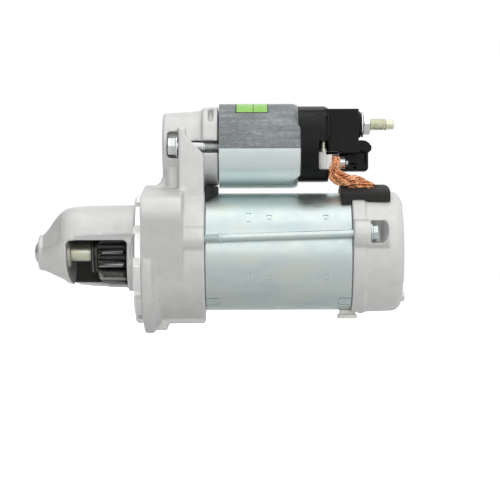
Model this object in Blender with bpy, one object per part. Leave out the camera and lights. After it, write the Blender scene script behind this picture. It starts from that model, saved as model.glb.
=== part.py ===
"""A pre-engaged starter motor with permanent magnets and planetary reduction.

All sizes are in millimetres. The frame has its origin on the motor axis in the plane of the flange's mounting face.
+X runs along the motor axis from the pinion to the end cover, +Z points from the motor to the solenoid.
The viewer's side is -Y, called near; +Y is far.
"""

import math

import bmesh
import bpy
from mathutils import Matrix, Vector

MM = 0.001
GAP = 0.3  # clearance between pieces that touch on the real object
OVERLAP = 0.5  # how far shapes that become one solid run into each other
CLOSE = 0.002  # corners nearer than this are one corner
FLAT = math.radians(0.3)  # faces that meet at less than this are one face
FINE, MEDIUM, COARSE = 36, 20, 12  # sides of large, middle and small round shapes

# Front housing: flange, register, nose and the lever chamber under the solenoid.
FLANGE_R, FLANGE_T = 48.8, 6.0
REGISTER_R, REGISTER_H = 42.2, 5.9
REGISTER_Z = -4.8
NOTCH_STEP, NOTCH_TURN = math.radians(30), math.radians(-2.5)
HOUSING_R, HOUSING_REAR = 44.0, 39.9
EAR_REAR, EAR_R, EAR_HOLE_R = 26.2, 10.5, 5.4
NEAR_EAR = (-54.0, 25.0)
FAR_EAR = (54.0, -34.6)
NOSE_TIP, NOSE_SHOULDER, NOSE_CHIN, NOSE_TIP_R = -70.0, -51.0, -46.0, 11.5
WINDOW_LEFT, WINDOW_RIGHT, WINDOW_TOP, WINDOW_FAR = -52.5, -11.0, 8.2, 8.5
BUSH_SEAT = -52.0
CLUTCH_ROOM_R = 30.0
GEAR_SEAT, GEAR_SEAT_R = 33.1, 36.3
SLAB_FRONT, SLAB_REAR, SLAB_HALF = 22.8, 39.3, 27.0
BARREL_FRONT, BARREL_REAR, BARREL_BORE = 12.2, 48.5, 14.0

# Motor: yoke, magnets, armature and end cover.
YOKE_R, YOKE_T = 38.5, 3.0
YOKE_FRONT, YOKE_REAR = 40.2, 134.8
MAGNETS = 6
MAGNET_FRONT, MAGNET_REAR, MAGNET_IN, MAGNET_OUT = 68.0, 120.0, 30.2, 35.2
CORE_FRONT, CORE_REAR, CORE_R, SLOTS = 70.0, 118.0, 29.6, 22
COMMUTATOR_FRONT, COMMUTATOR_REAR, COMMUTATOR_R = 130.0, 150.0, 14.5
COVER_FRONT, COVER_REAR, COVER_R, COVER_BORE = 135.1, 168.2, 40.0, 34.7
BOLT_R, BOLT_HEAD_X = 2.6, 146.0
BOLT_REACH = 42.0  # distance of the through bolts from the motor axis
BOLT_FRONT_ANGLE, BOLT_REAR_ANGLE = math.radians(12.0), math.radians(16.5)

# Planetary reduction: ring fixed, sun drives, carrier is the output.
MODULE, SUN_TEETH, PLANET_TEETH = 1.5, 11, 13
RING_TEETH = SUN_TEETH + 2 * PLANET_TEETH
PLANETS = 3
CARRIER_R = MODULE * (SUN_TEETH + PLANET_TEETH) / 2
GEAR_FRONT, GEAR_REAR = 43.0, 56.5
PRESSURE = math.radians(25)
BACKLASH = 0.24

# Drive: shaft, clutch, pinion and stop collar.
SHAFT_R, SPLINE_IN, SPLINE_OUT, SPLINES = 6.0, 7.3, 8.4, 10
SPLINE_FRONT = 8.4
PINION_MODULE, PINION_TEETH = 2.54, 14
PINION_FRONT, PINION_REAR = -30.4, -12.2
PINION_TIP, PINION_ROOT = 20.8, 15.2
CLUTCH_FRONT, CLUTCH_REAR, CLUTCH_R = 5.0, 22.2, 22.0
COLLAR_MIDDLE, COLLAR_GROOVE = 26.5, 5.0

# Solenoid, its cap and terminals.
SOLENOID_Z = 69.6
CAN_FRONT, CAN_REAR, CAN_R, CAN_T = 49.0, 101.2, 27.9, 2.5
SCREW_Y, SCREW_Z = 22.0, 68.3
PLUNGER_R, NECK_FRONT, NECK_REAR = 11.8, 20.5, 27.5
PLUNGER_REAR, RECESS = 66.0, 54.0
CORE_FACE = 77.0
CONTACT_X, CONTACT_R = 107.0, 17.0
STUD_HEADS = 111.4
CAP_REAR, CAP_R = 120.5, 25.0
ROOM_FRONT = 113.9
BOX_REAR, BOX_BOTTOM, BOX_TOP, BOX_HALF = 140.3, 64.0, 93.7, 14.0
BATTERY_Z, BATTERY_R, BATTERY_TIP = 83.6, 4.0, 164.2
MOTOR_Y, MOTOR_Z, MOTOR_R = -8.0, 58.2, 2.5

# Shift lever, which swings about an axis along Y.
PIVOT_X, PIVOT_Z = 28.0, 38.3
LEVER_HEAD_X = 24.0


# --- Shapes -------------------------------------------------------------------------------------

def as_object(name, bm):
    """A mesh object from a bmesh."""
    bmesh.ops.remove_doubles(bm, verts=bm.verts, dist=1e-4)
    bmesh.ops.recalc_face_normals(bm, faces=bm.faces)
    mesh = bpy.data.meshes.new(name)
    bm.to_mesh(mesh)
    bm.free()
    thing = bpy.data.objects.new(name, mesh)
    bpy.context.scene.collection.objects.link(thing)
    return thing


def turned(name, profile, steps=MEDIUM, y=0.0, z=0.0):
    """A closed (x, radius) profile spun about a line along X through (y, z)."""
    bm = bmesh.new()
    verts = [bm.verts.new((x, 0, r)) for x, r in profile]
    edges = [bm.edges.new((a, b)) for a, b in zip(verts, verts[1:] + verts[:1])]
    bmesh.ops.spin(bm, geom=verts + edges, cent=(0, 0, 0), axis=(1, 0, 0),
                   angle=math.tau, steps=steps, use_merge=True)
    bm.transform(Matrix.Translation((0, y, z)))
    return as_object(name, bm)


def disc(name, front, rear, radius, steps=MEDIUM, y=0.0, z=0.0):
    """A plain cylinder along X."""
    return turned(name, [(front, 0), (front, radius), (rear, radius), (rear, 0)], steps, y, z)


def tube(name, front, rear, outer, inner, steps=MEDIUM, y=0.0, z=0.0):
    """A plain ring along X."""
    return turned(name, [(front, inner), (front, outer), (rear, outer), (rear, inner)], steps, y, z)


AXES = {  # local x, y, z of an outline become these axes of the object
    "X": Matrix(((0, 0, 1, 0), (1, 0, 0, 0), (0, 1, 0, 0), (0, 0, 0, 1))),
    "Y": Matrix(((1, 0, 0, 0), (0, 0, -1, 0), (0, 1, 0, 0), (0, 0, 0, 1))),
    "Z": Matrix.Identity(4),
}


def curve_solid(name, curve):
    """A mesh object from a curve, which is used up."""
    helper = bpy.data.objects.new(name, curve)
    bpy.context.scene.collection.objects.link(helper)
    graph = bpy.context.evaluated_depsgraph_get()
    mesh = bpy.data.meshes.new_from_object(helper.evaluated_get(graph))
    bpy.data.objects.remove(helper)
    bpy.data.curves.remove(curve)
    bm = bmesh.new()
    bm.from_mesh(mesh)
    bpy.data.meshes.remove(mesh)
    return as_object(name, bm)


def prism(name, outlines, low, high, along="X"):
    """Flat outlines pushed from low to high along an axis; an outline inside another is a hole.

    Along X the outlines are (y, z), along Y they are (x, z) and along Z they are (x, y).
    """
    if along == "Y":
        low, high = -high, -low
    curve = bpy.data.curves.new(name, "CURVE")
    curve.dimensions, curve.fill_mode = "2D", "BOTH"
    curve.extrude = (high - low) / 2
    for outline in outlines:
        spline = curve.splines.new("POLY")
        spline.points.add(len(outline) - 1)
        for point, (u, v) in zip(spline.points, outline):
            point.co = (u, v, 0, 1)
        spline.use_cyclic_u = True
    solid = curve_solid(name, curve)
    solid.data.transform(AXES[along] @ Matrix.Translation((0, 0, (low + high) / 2)))
    return solid


def block(name, low, high):
    """A box between two corners."""
    bm = bmesh.new()
    size, middle = Vector(high) - Vector(low), (Vector(high) + Vector(low)) / 2
    bmesh.ops.create_cube(bm, size=1, matrix=Matrix.Translation(middle) @ Matrix.Diagonal((*size, 1)))
    return as_object(name, bm)


def hull(name, points):
    """The convex solid around these points."""
    bm = bmesh.new()
    for point in points:
        bm.verts.new(point)
    made = bmesh.ops.convex_hull(bm, input=bm.verts)
    inside = [v for v in made["geom_interior"] if isinstance(v, bmesh.types.BMVert)]
    bmesh.ops.delete(bm, geom=inside, context="VERTS")
    return as_object(name, bm)


def ring_points(x, y, z, radius, steps=MEDIUM):
    """Points of a circle across X."""
    return [(x, y + radius * math.cos(math.tau * i / steps), z + radius * math.sin(math.tau * i / steps))
            for i in range(steps)]


def rod(name, start, end, radius, steps=COARSE):
    """A cylinder between two points."""
    start, end = Vector(start), Vector(end)
    turn = (end - start).to_track_quat("Z", "Y").to_matrix().to_4x4()
    bm = bmesh.new()
    bmesh.ops.create_cone(bm, cap_ends=True, segments=steps, radius1=radius, radius2=radius,
                          depth=(end - start).length, matrix=Matrix.Translation((start + end) / 2) @ turn)
    return as_object(name, bm)


def boolean(base, other, operation):
    """base with other joined to it or cut from it; other is used up."""
    modifier = base.modifiers.new(operation, "BOOLEAN")
    modifier.operation, modifier.object = operation, other
    graph = bpy.context.evaluated_depsgraph_get()
    mesh = bpy.data.meshes.new_from_object(base.evaluated_get(graph))
    base.modifiers.clear()
    bpy.data.objects.remove(other)
    bm = bmesh.new()
    bm.from_mesh(mesh)
    bmesh.ops.remove_doubles(bm, verts=bm.verts, dist=CLOSE)
    bmesh.ops.dissolve_degenerate(bm, edges=bm.edges, dist=CLOSE)
    bm.to_mesh(mesh)
    bm.free()
    base.data = mesh


def join(base, *others):
    for other in others:
        boolean(base, other, "UNION")
    return base


def cut(base, *others):
    for other in others:
        boolean(base, other, "DIFFERENCE")
    return base


def circle(radius, steps=MEDIUM, y=0.0, z=0.0):
    """A round outline."""
    return [(y + radius * math.cos(math.tau * i / steps), z + radius * math.sin(math.tau * i / steps))
            for i in range(steps)]


def rounded(low, high, radius, steps=4):
    """A rectangle outline with round corners."""
    (u0, v0), (u1, v1) = low, high
    corners = [(u1 - radius, v1 - radius, 0), (u0 + radius, v1 - radius, 1),
               (u0 + radius, v0 + radius, 2), (u1 - radius, v0 + radius, 3)]
    return [(u + radius * math.cos(math.pi / 2 * (k + i / steps)),
             v + radius * math.sin(math.pi / 2 * (k + i / steps)))
            for u, v, k in corners for i in range(steps + 1)]


def hexagon(across_flats, y=0.0, z=0.0):
    """A hexagon outline."""
    return circle(across_flats / math.sqrt(3), 6, y, z)


def polar(radius, angle):
    """The (y, z) point at an angle above the near side's horizontal."""
    return -radius * math.cos(angle), radius * math.sin(angle)


def coil(name, start, end, radius, wire, turns, per_turn=8):
    """A helical spring between two points."""
    start, end = Vector(start), Vector(end)
    turn = (end - start).to_track_quat("Z", "Y").to_matrix()
    travel = (end - start).length - 2 * wire
    curve = bpy.data.curves.new(name, "CURVE")
    curve.dimensions, curve.use_fill_caps = "3D", True
    curve.bevel_depth, curve.bevel_resolution = wire, 0
    spline = curve.splines.new("POLY")
    count = turns * per_turn
    spline.points.add(count)
    for i, point in enumerate(spline.points):
        angle = math.tau * i / per_turn
        local = Vector((radius * math.cos(angle), radius * math.sin(angle), wire + travel * i / count))
        point.co = (*(start + turn @ local), 1)
    return curve_solid(name, curve)


def gear_outline(teeth, module, tip, root, widen, phase=0.0, steps=2):
    """An involute gear's outline, with a tooth's middle at the phase angle; widen is added to each tooth's width."""
    pitch = teeth * module / 2
    base = pitch * math.cos(PRESSURE)

    def half_angle(radius):
        lean = math.acos(min(1.0, base / max(radius, base)))
        at_pitch = math.pi / (2 * teeth) + widen / (2 * pitch)
        return at_pitch + math.tan(PRESSURE) - PRESSURE - (math.tan(lean) - lean)

    radii = [root, *(pitch + (tip - pitch) * i / (steps - 1) for i in range(steps))]
    points = []
    for tooth in range(teeth):
        middle = phase + math.tau * tooth / teeth
        flank = [(r, half_angle(r)) for r in radii]
        for r, half in flank:
            points.append((r * math.cos(middle - half), r * math.sin(middle - half)))
        for r, half in reversed(flank):
            points.append((r * math.cos(middle + half), r * math.sin(middle + half)))
    return points


def planet_angle(index):
    return math.tau * index / PLANETS


def planet_phase(index):
    """The phase that meshes a planet with the sun, whose tooth middle is at angle 0."""
    angle = planet_angle(index)
    return angle + math.pi + angle * SUN_TEETH / PLANET_TEETH - math.pi / PLANET_TEETH


def ring_phase():
    """The phase of the ring's tooth spaces, from the planet at angle 0."""
    return planet_phase(0) * PLANET_TEETH / RING_TEETH


# --- Housing ------------------------------------------------------------------------------------

def nose_shape():
    """The outside of the nose: an upright oval tube that narrows to a round tip."""
    body = hull("nose", ring_points(1, 0, 0, 26.6) + ring_points(1, 0, 5.0, 26.3)
                + ring_points(NOSE_CHIN, 0, 0, 22.8) + ring_points(NOSE_SHOULDER, 0, 5.2, 24.2))
    cone = hull("cone", ring_points(NOSE_CHIN + OVERLAP, 0, 0, 22.7)
                + ring_points(NOSE_SHOULDER + OVERLAP, 0, 5.1, 24.1)
                + ring_points(NOSE_TIP + 4, 0, 0, NOSE_TIP_R))
    return join(body, cone, disc("tip", NOSE_TIP, NOSE_TIP + 5, NOSE_TIP_R - 0.1))


def nose_room():
    """The hollow of the nose, which the pinion and the front of the clutch move in."""
    room = hull("room", ring_points(BUSH_SEAT, 0, 1, 15) + ring_points(-46.5, 0, 0, 21.3)
                + ring_points(-46.5, 0, 3.5, 21.3) + ring_points(5, 0, 0, 22.7) + ring_points(5, 0, 4.5, 22.7))
    bore = disc("bore", NOSE_TIP - 1, BUSH_SEAT + OVERLAP, 8.8)
    return join(room, bore, disc("clutch_way", -9, 5, 22.7))


def nose_window():
    """The opening through which the pinion meets the engine's ring gear."""
    arc = [(WINDOW_LEFT + 2 - 2 * math.cos(t), WINDOW_TOP - 2 + 2 * math.sin(t))
           for t in [math.pi / 2 * i / 4 for i in range(5)]]
    arc += [(WINDOW_RIGHT - 2 + 2 * math.sin(t), WINDOW_TOP - 2 + 2 * math.cos(t))
            for t in [math.pi / 2 * i / 4 for i in range(5)]]
    return prism("window", [arc + [(WINDOW_RIGHT, -60), (WINDOW_LEFT + 10, -60)]], -60, WINDOW_FAR, "Y")


def mounting_ear(y, z):
    """A mounting ear: a long boss whose sides run into the drum as tangents."""
    drum = HOUSING_R - 0.4
    towards, spread = math.atan2(z, y), math.acos((drum - EAR_R) / math.hypot(y, z))
    sides = [(drum * math.cos(towards + a), drum * math.sin(towards + a)) for a in (-spread, spread)]
    return hull("ear", [p for x in (0, EAR_REAR) for p in
                        [*ring_points(x, y, z, EAR_R), *((x, *side) for side in sides), (x, 0, 0)]])


def bolt_boss(front, rear, angle, radius=8.2):
    """A pad on the side of a casting that a through bolt runs into."""
    y, z = polar(BOLT_REACH - 1.5, angle)
    return hull("boss", [p for x in (front, rear) for p in
                         ring_points(x, y, z, radius, 16) + ring_points(x, y * 0.7, z * 0.7, radius, 16)])


def bolt_points(side):
    """The front and rear ends of a through bolt's axis; side is 0 for near and 1 for far."""
    turn = side * math.pi
    front = polar(BOLT_REACH, BOLT_FRONT_ANGLE + turn)
    rear = polar(BOLT_REACH, BOLT_REAR_ANGLE + turn)
    return Vector((HOUSING_REAR, *front)), Vector((BOLT_HEAD_X, *rear))


def bolt_point(side, x):
    """The point of a through bolt's axis at x."""
    front, rear = bolt_points(side)
    return front + (rear - front) * ((x - front.x) / (rear.x - front.x))


def solenoid_mount():
    """The barrel and column that carry the solenoid, with room for its two screws."""
    barrel = hull("barrel", ring_points(BARREL_FRONT, 0, SOLENOID_Z, 21.6, FINE)
                  + ring_points(BARREL_REAR - 6, 0, SOLENOID_Z, 23.4, FINE))
    join(barrel, disc("collar", BARREL_REAR - 7, BARREL_REAR, 25.8, FINE, 0, SOLENOID_Z))
    for side in (-1, 1):
        inner, outer = sorted((side * 17.6, side * 30))
        cut(barrel, block("screw_way", (SLAB_FRONT + 1, inner, SCREW_Z - 4.2),
                          (BARREL_REAR + 1, outer, SCREW_Z + 3.6)))
    column = prism("column", [rounded((BARREL_FRONT + 0.1, -17), (36, 17), 6)], 25, SOLENOID_Z, "Z")
    slab = prism("slab", [[(SLAB_FRONT, 10), (SLAB_REAR, 10), (SLAB_REAR, 64.4), (27.4, 75.5),
                           (27.4, 80.5), (SLAB_FRONT, 80.5)]], -SLAB_HALF, SLAB_HALF, "Y")
    blend = [(BARREL_FRONT - 6 + 6 * math.sin(t), 50 - 6 * math.cos(t))
             for t in [math.pi / 2 * i / 5 for i in range(6)]]
    foot = prism("foot", [blend + [(BARREL_FRONT + 2, 50), (BARREL_FRONT + 2, 40), (BARREL_FRONT - 6, 40)]],
                 -13, 13, "Y")
    return join(barrel, column, slab, foot)


def lever_room():
    """The hollow that the shift lever and the plunger move in."""
    lower = block("lower", (9, -21.5, 2), (33.05, 21.5, 35.8))
    upper = block("upper", (14.8, -11.2, 33), (37, 11.2, 62))
    bore = disc("bore", 15, BARREL_REAR + 1, BARREL_BORE, MEDIUM, 0, SOLENOID_Z)
    pins = rod("pins", (PIVOT_X, -17, PIVOT_Z), (PIVOT_X, 17, PIVOT_Z), 2.9)
    rear = block("rear", (36, -9, 39), (42, 9, 43))
    return join(lower, upper, bore, pins, rear)


def front_housing():
    """The cast front housing: register, flange, ears, drum, nose and solenoid mount in one piece."""
    body = disc("front_housing", 3, HOUSING_REAR, HOUSING_R, FINE)
    join(body,
         disc("flange", 0, FLANGE_T, FLANGE_R, FINE, 0, REGISTER_Z),
         disc("register", -REGISTER_H, 2, REGISTER_R, FINE, 0, REGISTER_Z),
         mounting_ear(*NEAR_EAR), mounting_ear(*FAR_EAR),
         block("rib", (4, -9, -47), (HOUSING_REAR - 0.2, 9, -38)),
         hull("rib_step", [(x, y, z) for y in (-9.5, 9.5) for x, z in
                           ((4, -44), (16, -44), (14.6, -51), (4, -51))]),
         bolt_boss(EAR_REAR + 1, HOUSING_REAR - 0.1, BOLT_FRONT_ANGLE),
         bolt_boss(EAR_REAR + 1, HOUSING_REAR - 0.1, BOLT_FRONT_ANGLE + math.pi),
         solenoid_mount(), nose_shape())
    cut(body, disc("clutch_room", 4, GEAR_SEAT + OVERLAP, CLUTCH_ROOM_R),
        disc("gear_seat", GEAR_SEAT, HOUSING_REAR + 1, GEAR_SEAT_R, FINE),
        nose_room(), nose_window(), lever_room())
    for index in range(7):
        y, z = polar(REGISTER_R - 0.4, index * NOTCH_STEP + NOTCH_TURN)
        cut(body, rod("notch", (-REGISTER_H - 1, y, z + REGISTER_Z), (-0.6, y, z + REGISTER_Z), 2.2, 8))
    for side, (y, z) in enumerate((NEAR_EAR, FAR_EAR)):
        cut(body, rod("ear_hole", (-1, y, z), (EAR_REAR + 1, y, z), EAR_HOLE_R, 24),
            rod("bolt_hole", bolt_point(side, EAR_REAR + 4), bolt_point(side, HOUSING_REAR + 2), BOLT_R + GAP))
    for side in (-1, 1):
        y = side * SCREW_Y
        inner, outer = sorted((side * 14.8, side * 31))
        cut(body, rod("screw_hole", (SLAB_FRONT - 1, y, SCREW_Z), (BARREL_REAR, y, SCREW_Z), 3.3),
            block("head_room", (15.6, inner, SCREW_Z - 7.6), (SLAB_FRONT, outer, SCREW_Z + 9.7)))
    return body


def nose_bush():
    return turned("nose_bush", [(-66, 6.3), (-66, 8.5), (BUSH_SEAT + 0.2, 8.5), (BUSH_SEAT + 0.2, 9.5),
                                (-48.9, 9.5), (-48.4, 9), (-48.4, 6.3)], MEDIUM)


def nose_plug():
    """The domed plug that closes the end of the nose."""
    dome = [(-70.6 - 2.2 * math.sin(t), 6.4 * math.cos(t)) for t in [math.pi / 2 * i / 4 for i in range(5)]]
    return turned("nose_plug", [(-67, 0), (-67, 8.5), (-69.8, 8.5), (-69.8, 6.4), *dome], 20)


def lever_seal():
    """The rubber block that fills the gap between drum, yoke and solenoid mount."""
    plan = [(HOUSING_REAR + 0.2, -21.5), (HOUSING_REAR + 0.2, 21.5)]
    plan += [(42 + 6.4 * math.cos(t), 19.5 * math.sin(t)) for t in [math.pi / 2 * (1 - i / 4) for i in range(9)]]
    seal = prism("lever_seal", [plan], 30, 43.2, "Z")
    join(seal, block("tongue", (37.4, -8.6, 39.3), (41, 8.6, 42.7)))
    return cut(seal, disc("yoke_way", 39.6, 60, YOKE_R + GAP, FINE))


# --- Motor --------------------------------------------------------------------------------------

def grommet_way():
    """The gap in the yoke and the end cover that the grommet fills."""
    return block("grommet_way", (127.9, -14.3, 28), (162.3, 14.3, 60))


def yoke():
    """The steel yoke: a tube with two locating notches and the grommet's gap."""
    body = tube("yoke", YOKE_FRONT, YOKE_REAR, YOKE_R, YOKE_R - YOKE_T, FINE)
    for low, high in ((YOKE_FRONT - 1, YOKE_FRONT + 8.5), (YOKE_REAR - 7.5, YOKE_REAR + 1)):
        cut(body, block("notch", (low, -26, -40), (high, -17, -20)))
    return cut(body, grommet_way())


def magnet(index):
    """A curved magnet segment."""
    middle, half = math.tau * index / MAGNETS, math.radians(25)
    angles = [middle - half + 2 * half * i / 5 for i in range(6)]
    outline = [(MAGNET_OUT * math.cos(a), MAGNET_OUT * math.sin(a)) for a in angles]
    outline += [(MAGNET_IN * math.cos(a), MAGNET_IN * math.sin(a)) for a in reversed(angles)]
    return prism(f"magnet_{index + 1}", [outline], MAGNET_FRONT, MAGNET_REAR)


def end_cover():
    """The cast end cover, closed at the rear, with bolt pads and pockets."""
    corner = [(COVER_REAR - 7 + 7 * math.sin(t), COVER_R - 0.6 - 7 + 7 * math.cos(t))
              for t in [math.pi / 2 * i / 5 for i in range(6)]]
    body = turned("end_cover", [
        (COVER_FRONT, 37.2), (COVER_FRONT, COVER_R + 1), (COVER_FRONT + 8, COVER_R + 1), (COVER_FRONT + 8.6, COVER_R),
        *corner, (COVER_REAR, 0), (164.6, 0), (164.6, 11.3), (156.4, 11.3), (156.4, 14), (164.6, 15),
        (164.6, 33), (163, COVER_BORE + 0.5), (144.6, COVER_BORE + 0.5), (144.6, 37.2)], FINE)
    for side in (0, math.pi):
        join(body, bolt_boss(COVER_FRONT + 0.1, 158, BOLT_REAR_ANGLE + side, 9.0))
    cut(body, disc("mouth", COVER_FRONT - 1, 144.6, 36.9, FINE), disc("inside", 143, 160, COVER_BORE, FINE))
    for side in (0, 1):
        y, z = polar(BOLT_REACH + 1, BOLT_REAR_ANGLE + side * math.pi)
        pocket = hull("pocket", ring_points(BOLT_HEAD_X, y, z, 7.4, 16) + ring_points(153, y, z, 7.4, 16)
                      + ring_points(BOLT_HEAD_X, y * 1.4, z * 1.4, 9, 16) + ring_points(158, y * 1.4, z * 1.4, 9, 16))
        cut(body, pocket, rod("bolt_hole", bolt_point(side, COVER_FRONT - 2), bolt_point(side, BOLT_HEAD_X + 1),
                              BOLT_R + GAP))
    for y, z in SCREW_SPOTS:
        cut(body, rod("screw_hole", (COVER_REAR - 6, y, z), (COVER_REAR + 1, y, z), 2.3, 12))
    return cut(body, grommet_way(), block("vent_way", (COVER_FRONT - 1, -8.3, -45), (139.6, 8.3, -30)))


SCREW_SPOTS = ((8.0, 29.5), (-8.0, -29.5))


def end_cover_screw(index):
    """A small pan-head screw that holds the brush gear."""
    y, z = SCREW_SPOTS[index]
    return turned(f"end_cover_screw_{index + 1}", [(163.2, 0), (163.2, 2), (168.5, 2), (168.5, 3.6),
                                                  (169.6, 3.6), (170.4, 2.6), (170.4, 0)], COARSE, y, z)


def through_bolt(side, name):
    """A long bolt that clamps end cover, yoke and front housing together."""
    seat = bolt_point(side, BOLT_HEAD_X)
    along = (seat - bolt_point(side, HOUSING_REAR)).normalized()
    bolt = rod(name, bolt_point(side, EAR_REAR + 4.4), seat + along * 2, BOLT_R)
    flange = rod("flange", seat + along * GAP, seat + along * 1.6, 5.9, 16)
    head = rod("head", seat + along * 1, seat + along * 4.6, 4.7, 6)
    return join(bolt, flange, head)


def drain_vent():
    """The soft plastic vent under the joint of yoke and end cover."""
    body = prism("drain_vent", [rounded((126.5, -8), (139.2, 8), 2)], -44.2, -41.4, "Z")
    join(body, block("neck", (128, -6.5, -42), (138.2, 6.5, -35)))
    cut(body, disc("motor", 120, 139.3, YOKE_R + GAP, FINE))
    return cut(body, rod("duct", (133, 0, -46), (133, 0, -37.5), 2.2, 12))


def grommet():
    """The rubber plug that the motor lead passes through, with a saddle over the joint of yoke and end cover."""
    half = [(-24.6, 30.5), (-24.8, 37.0), (-23.6, 38.6), (-20, 40.2), (-13, 42.3), (-6, 43.6)]
    saddle = prism("grommet", [[*half, (0, 44.0), *((-y, z) for y, z in reversed(half))]], 128.2, 162)
    keep = prism("keep", [[(128.2, 25), (162, 25), (162, 40.4), (161, 42.8), (158.5, 44.4), (128.2, 44.4)]],
                 -30, 30, "Y")
    boolean(saddle, keep, "INTERSECT")
    joint = COVER_FRONT - 2 * GAP
    seat = [(127, 0), (127, YOKE_R + GAP), (joint, YOKE_R + GAP), (joint, COVER_R + 1 + GAP),
            (COVER_FRONT + 9, COVER_R + 1 + GAP), (COVER_FRONT + 9.6, COVER_R + GAP), (163, COVER_R + GAP), (163, 0)]
    cut(saddle, turned("seat", seat, FINE))
    join(saddle, block("plug", (128.2, -14, 31.8), (162, 14, 41.8)))
    return cut(saddle, lead_tube("lead_hole", LEAD_R + GAP, 1.5))


def armature_shaft():
    """The armature's shaft, with the sun gear cut in its front end."""
    shaft = turned("armature_shaft", [(38.6, 0), (38.6, 3.4), (42.6, 3.4), (42.6, 5.5), (GEAR_REAR + 2, 5.5),
                                      (GEAR_REAR + 2, 6.5), (154, 6.5), (154, 5.4), (163.6, 5.4), (163.6, 0)], 16)
    tip = MODULE * (SUN_TEETH / 2 + 0.85)
    sun = prism("sun", [gear_outline(SUN_TEETH, MODULE, tip, MODULE * (SUN_TEETH / 2 - 1.1), -BACKLASH)],
                GEAR_FRONT + 0.4, GEAR_REAR + OVERLAP)
    return join(shaft, sun)


def slot_outline(radius, depth, share):
    """A round outline with open winding slots."""
    points = []
    for slot in range(SLOTS):
        middle, half = math.tau * slot / SLOTS, math.pi / SLOTS
        for r, a in ((radius - depth, -share), (radius - depth, share), (radius, share), (radius, 2 - share)):
            points.append((r * math.cos(middle + half * a), r * math.sin(middle + half * a)))
    return points


def armature_core():
    """The laminated core: slots all round and a bore for the shaft."""
    return prism("armature_core", [slot_outline(CORE_R, 8, 0.42), circle(6.8, MEDIUM)], CORE_FRONT, CORE_REAR)


def armature_winding():
    """The copper winding: a bar in each slot and the end turns that join them."""
    bars = []
    for slot in range(SLOTS):
        angle = math.tau * slot / SLOTS
        out, side = Vector((math.cos(angle), math.sin(angle))), Vector((-math.sin(angle), math.cos(angle)))
        bars.append([tuple(out * r + side * w) for r, w in ((22.2, -1.1), (28.4, -1.3), (28.4, 1.3), (22.2, 1.1))])
    winding = prism("armature_winding", bars, CORE_FRONT - 3, CORE_REAR + 3)
    for front, rear, hub in ((62, CORE_FRONT - GAP, 15), (CORE_REAR + GAP, 127, 15)):
        ring = turned("end_turns", [(front, hub), (front, 25), (front + 2, 28.8), (rear - 2, 28.8), (rear, 28.6),
                                    (rear, hub)], SLOTS)
        join(winding, ring)
    return winding


def commutator():
    return turned("commutator", [(COMMUTATOR_FRONT - 2, 6.8), (COMMUTATOR_FRONT - 2, 18), (COMMUTATOR_FRONT + 1.5, 18),
                                 (COMMUTATOR_FRONT + 2, COMMUTATOR_R), (COMMUTATOR_REAR, COMMUTATOR_R),
                                 (COMMUTATOR_REAR, 6.8)], MEDIUM)


def brush_turn(index):
    """The turn that carries the brush gear's +Y arm to arm number index."""
    return Matrix.Rotation(math.pi / 4 + math.pi / 2 * index, 4, "X")


def brush_holder():
    """The moulded ring with a radial guide for each brush and spring."""
    body = tube("brush_holder", 150.6, 153.4, 31.2, 19.5, FINE)
    for index in range(4):
        guide = block("guide", (133.2, 19.5, -7), (151, 33.6, 7))
        cut(guide, block("slot", (134.2, 15, -5), (149.4, 32.4, 5)))
        guide.data.transform(brush_turn(index))
        join(body, guide)
    return body


def brush(index):
    thing = block(f"brush_{index + 1}", (135, COMMUTATOR_R + 0.35, -4.6), (148.6, 24.5, 4.6))
    thing.data.transform(brush_turn(index))
    return thing


def brush_spring(index):
    spring = coil(f"brush_spring_{index + 1}", (141.8, 24.8, 0), (141.8, 32.1, 0), 3.4, 0.45, 3, 6)
    spring.data.transform(brush_turn(index))
    return spring


def rear_bearing():
    return tube("rear_bearing", 156.8, 164.2, 11, 5.8, 24)


# --- Reduction gear and drive -------------------------------------------------------------------

def ring_gear():
    """The fixed internal gear."""
    outline = gear_outline(RING_TEETH, MODULE, MODULE * (RING_TEETH / 2 + 1.25), MODULE * (RING_TEETH / 2 - 0.75),
                           BACKLASH, ring_phase())
    return prism("ring_gear", [circle(YOKE_R - YOKE_T - GAP, FINE), outline], 42, 57.5)


def centre_plate():
    """The plate that carries the drive shaft's middle bearing, in front of the gears."""
    return turned("centre_plate", [(33.4, 8.4), (33.4, 36), (36.4, 36), (36.4, 12), (37.2, 12), (37.2, 8.4)], MEDIUM)


def planet_gear(index):
    tip, root = MODULE * (PLANET_TEETH / 2 + 0.85), MODULE * (PLANET_TEETH / 2 - 1.1)
    gear = prism(f"planet_gear_{index + 1}",
                 [gear_outline(PLANET_TEETH, MODULE, tip, root, -BACKLASH, planet_phase(index)), circle(3.4, COARSE)],
                 GEAR_FRONT, GEAR_REAR)
    angle = planet_angle(index)
    gear.location = Vector((0, CARRIER_R * math.cos(angle), CARRIER_R * math.sin(angle))) * MM
    return gear


def spline_outline(inner, outer, share):
    """A shaft outline with straight splines."""
    points = []
    for spline in range(SPLINES):
        middle, half = math.tau * spline / SPLINES, math.pi / SPLINES
        for r, a in ((inner, -share), (outer, -share), (outer, share), (inner, share)):
            points.append((r * math.cos(middle + half * a), r * math.sin(middle + half * a)))
    return points


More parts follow.
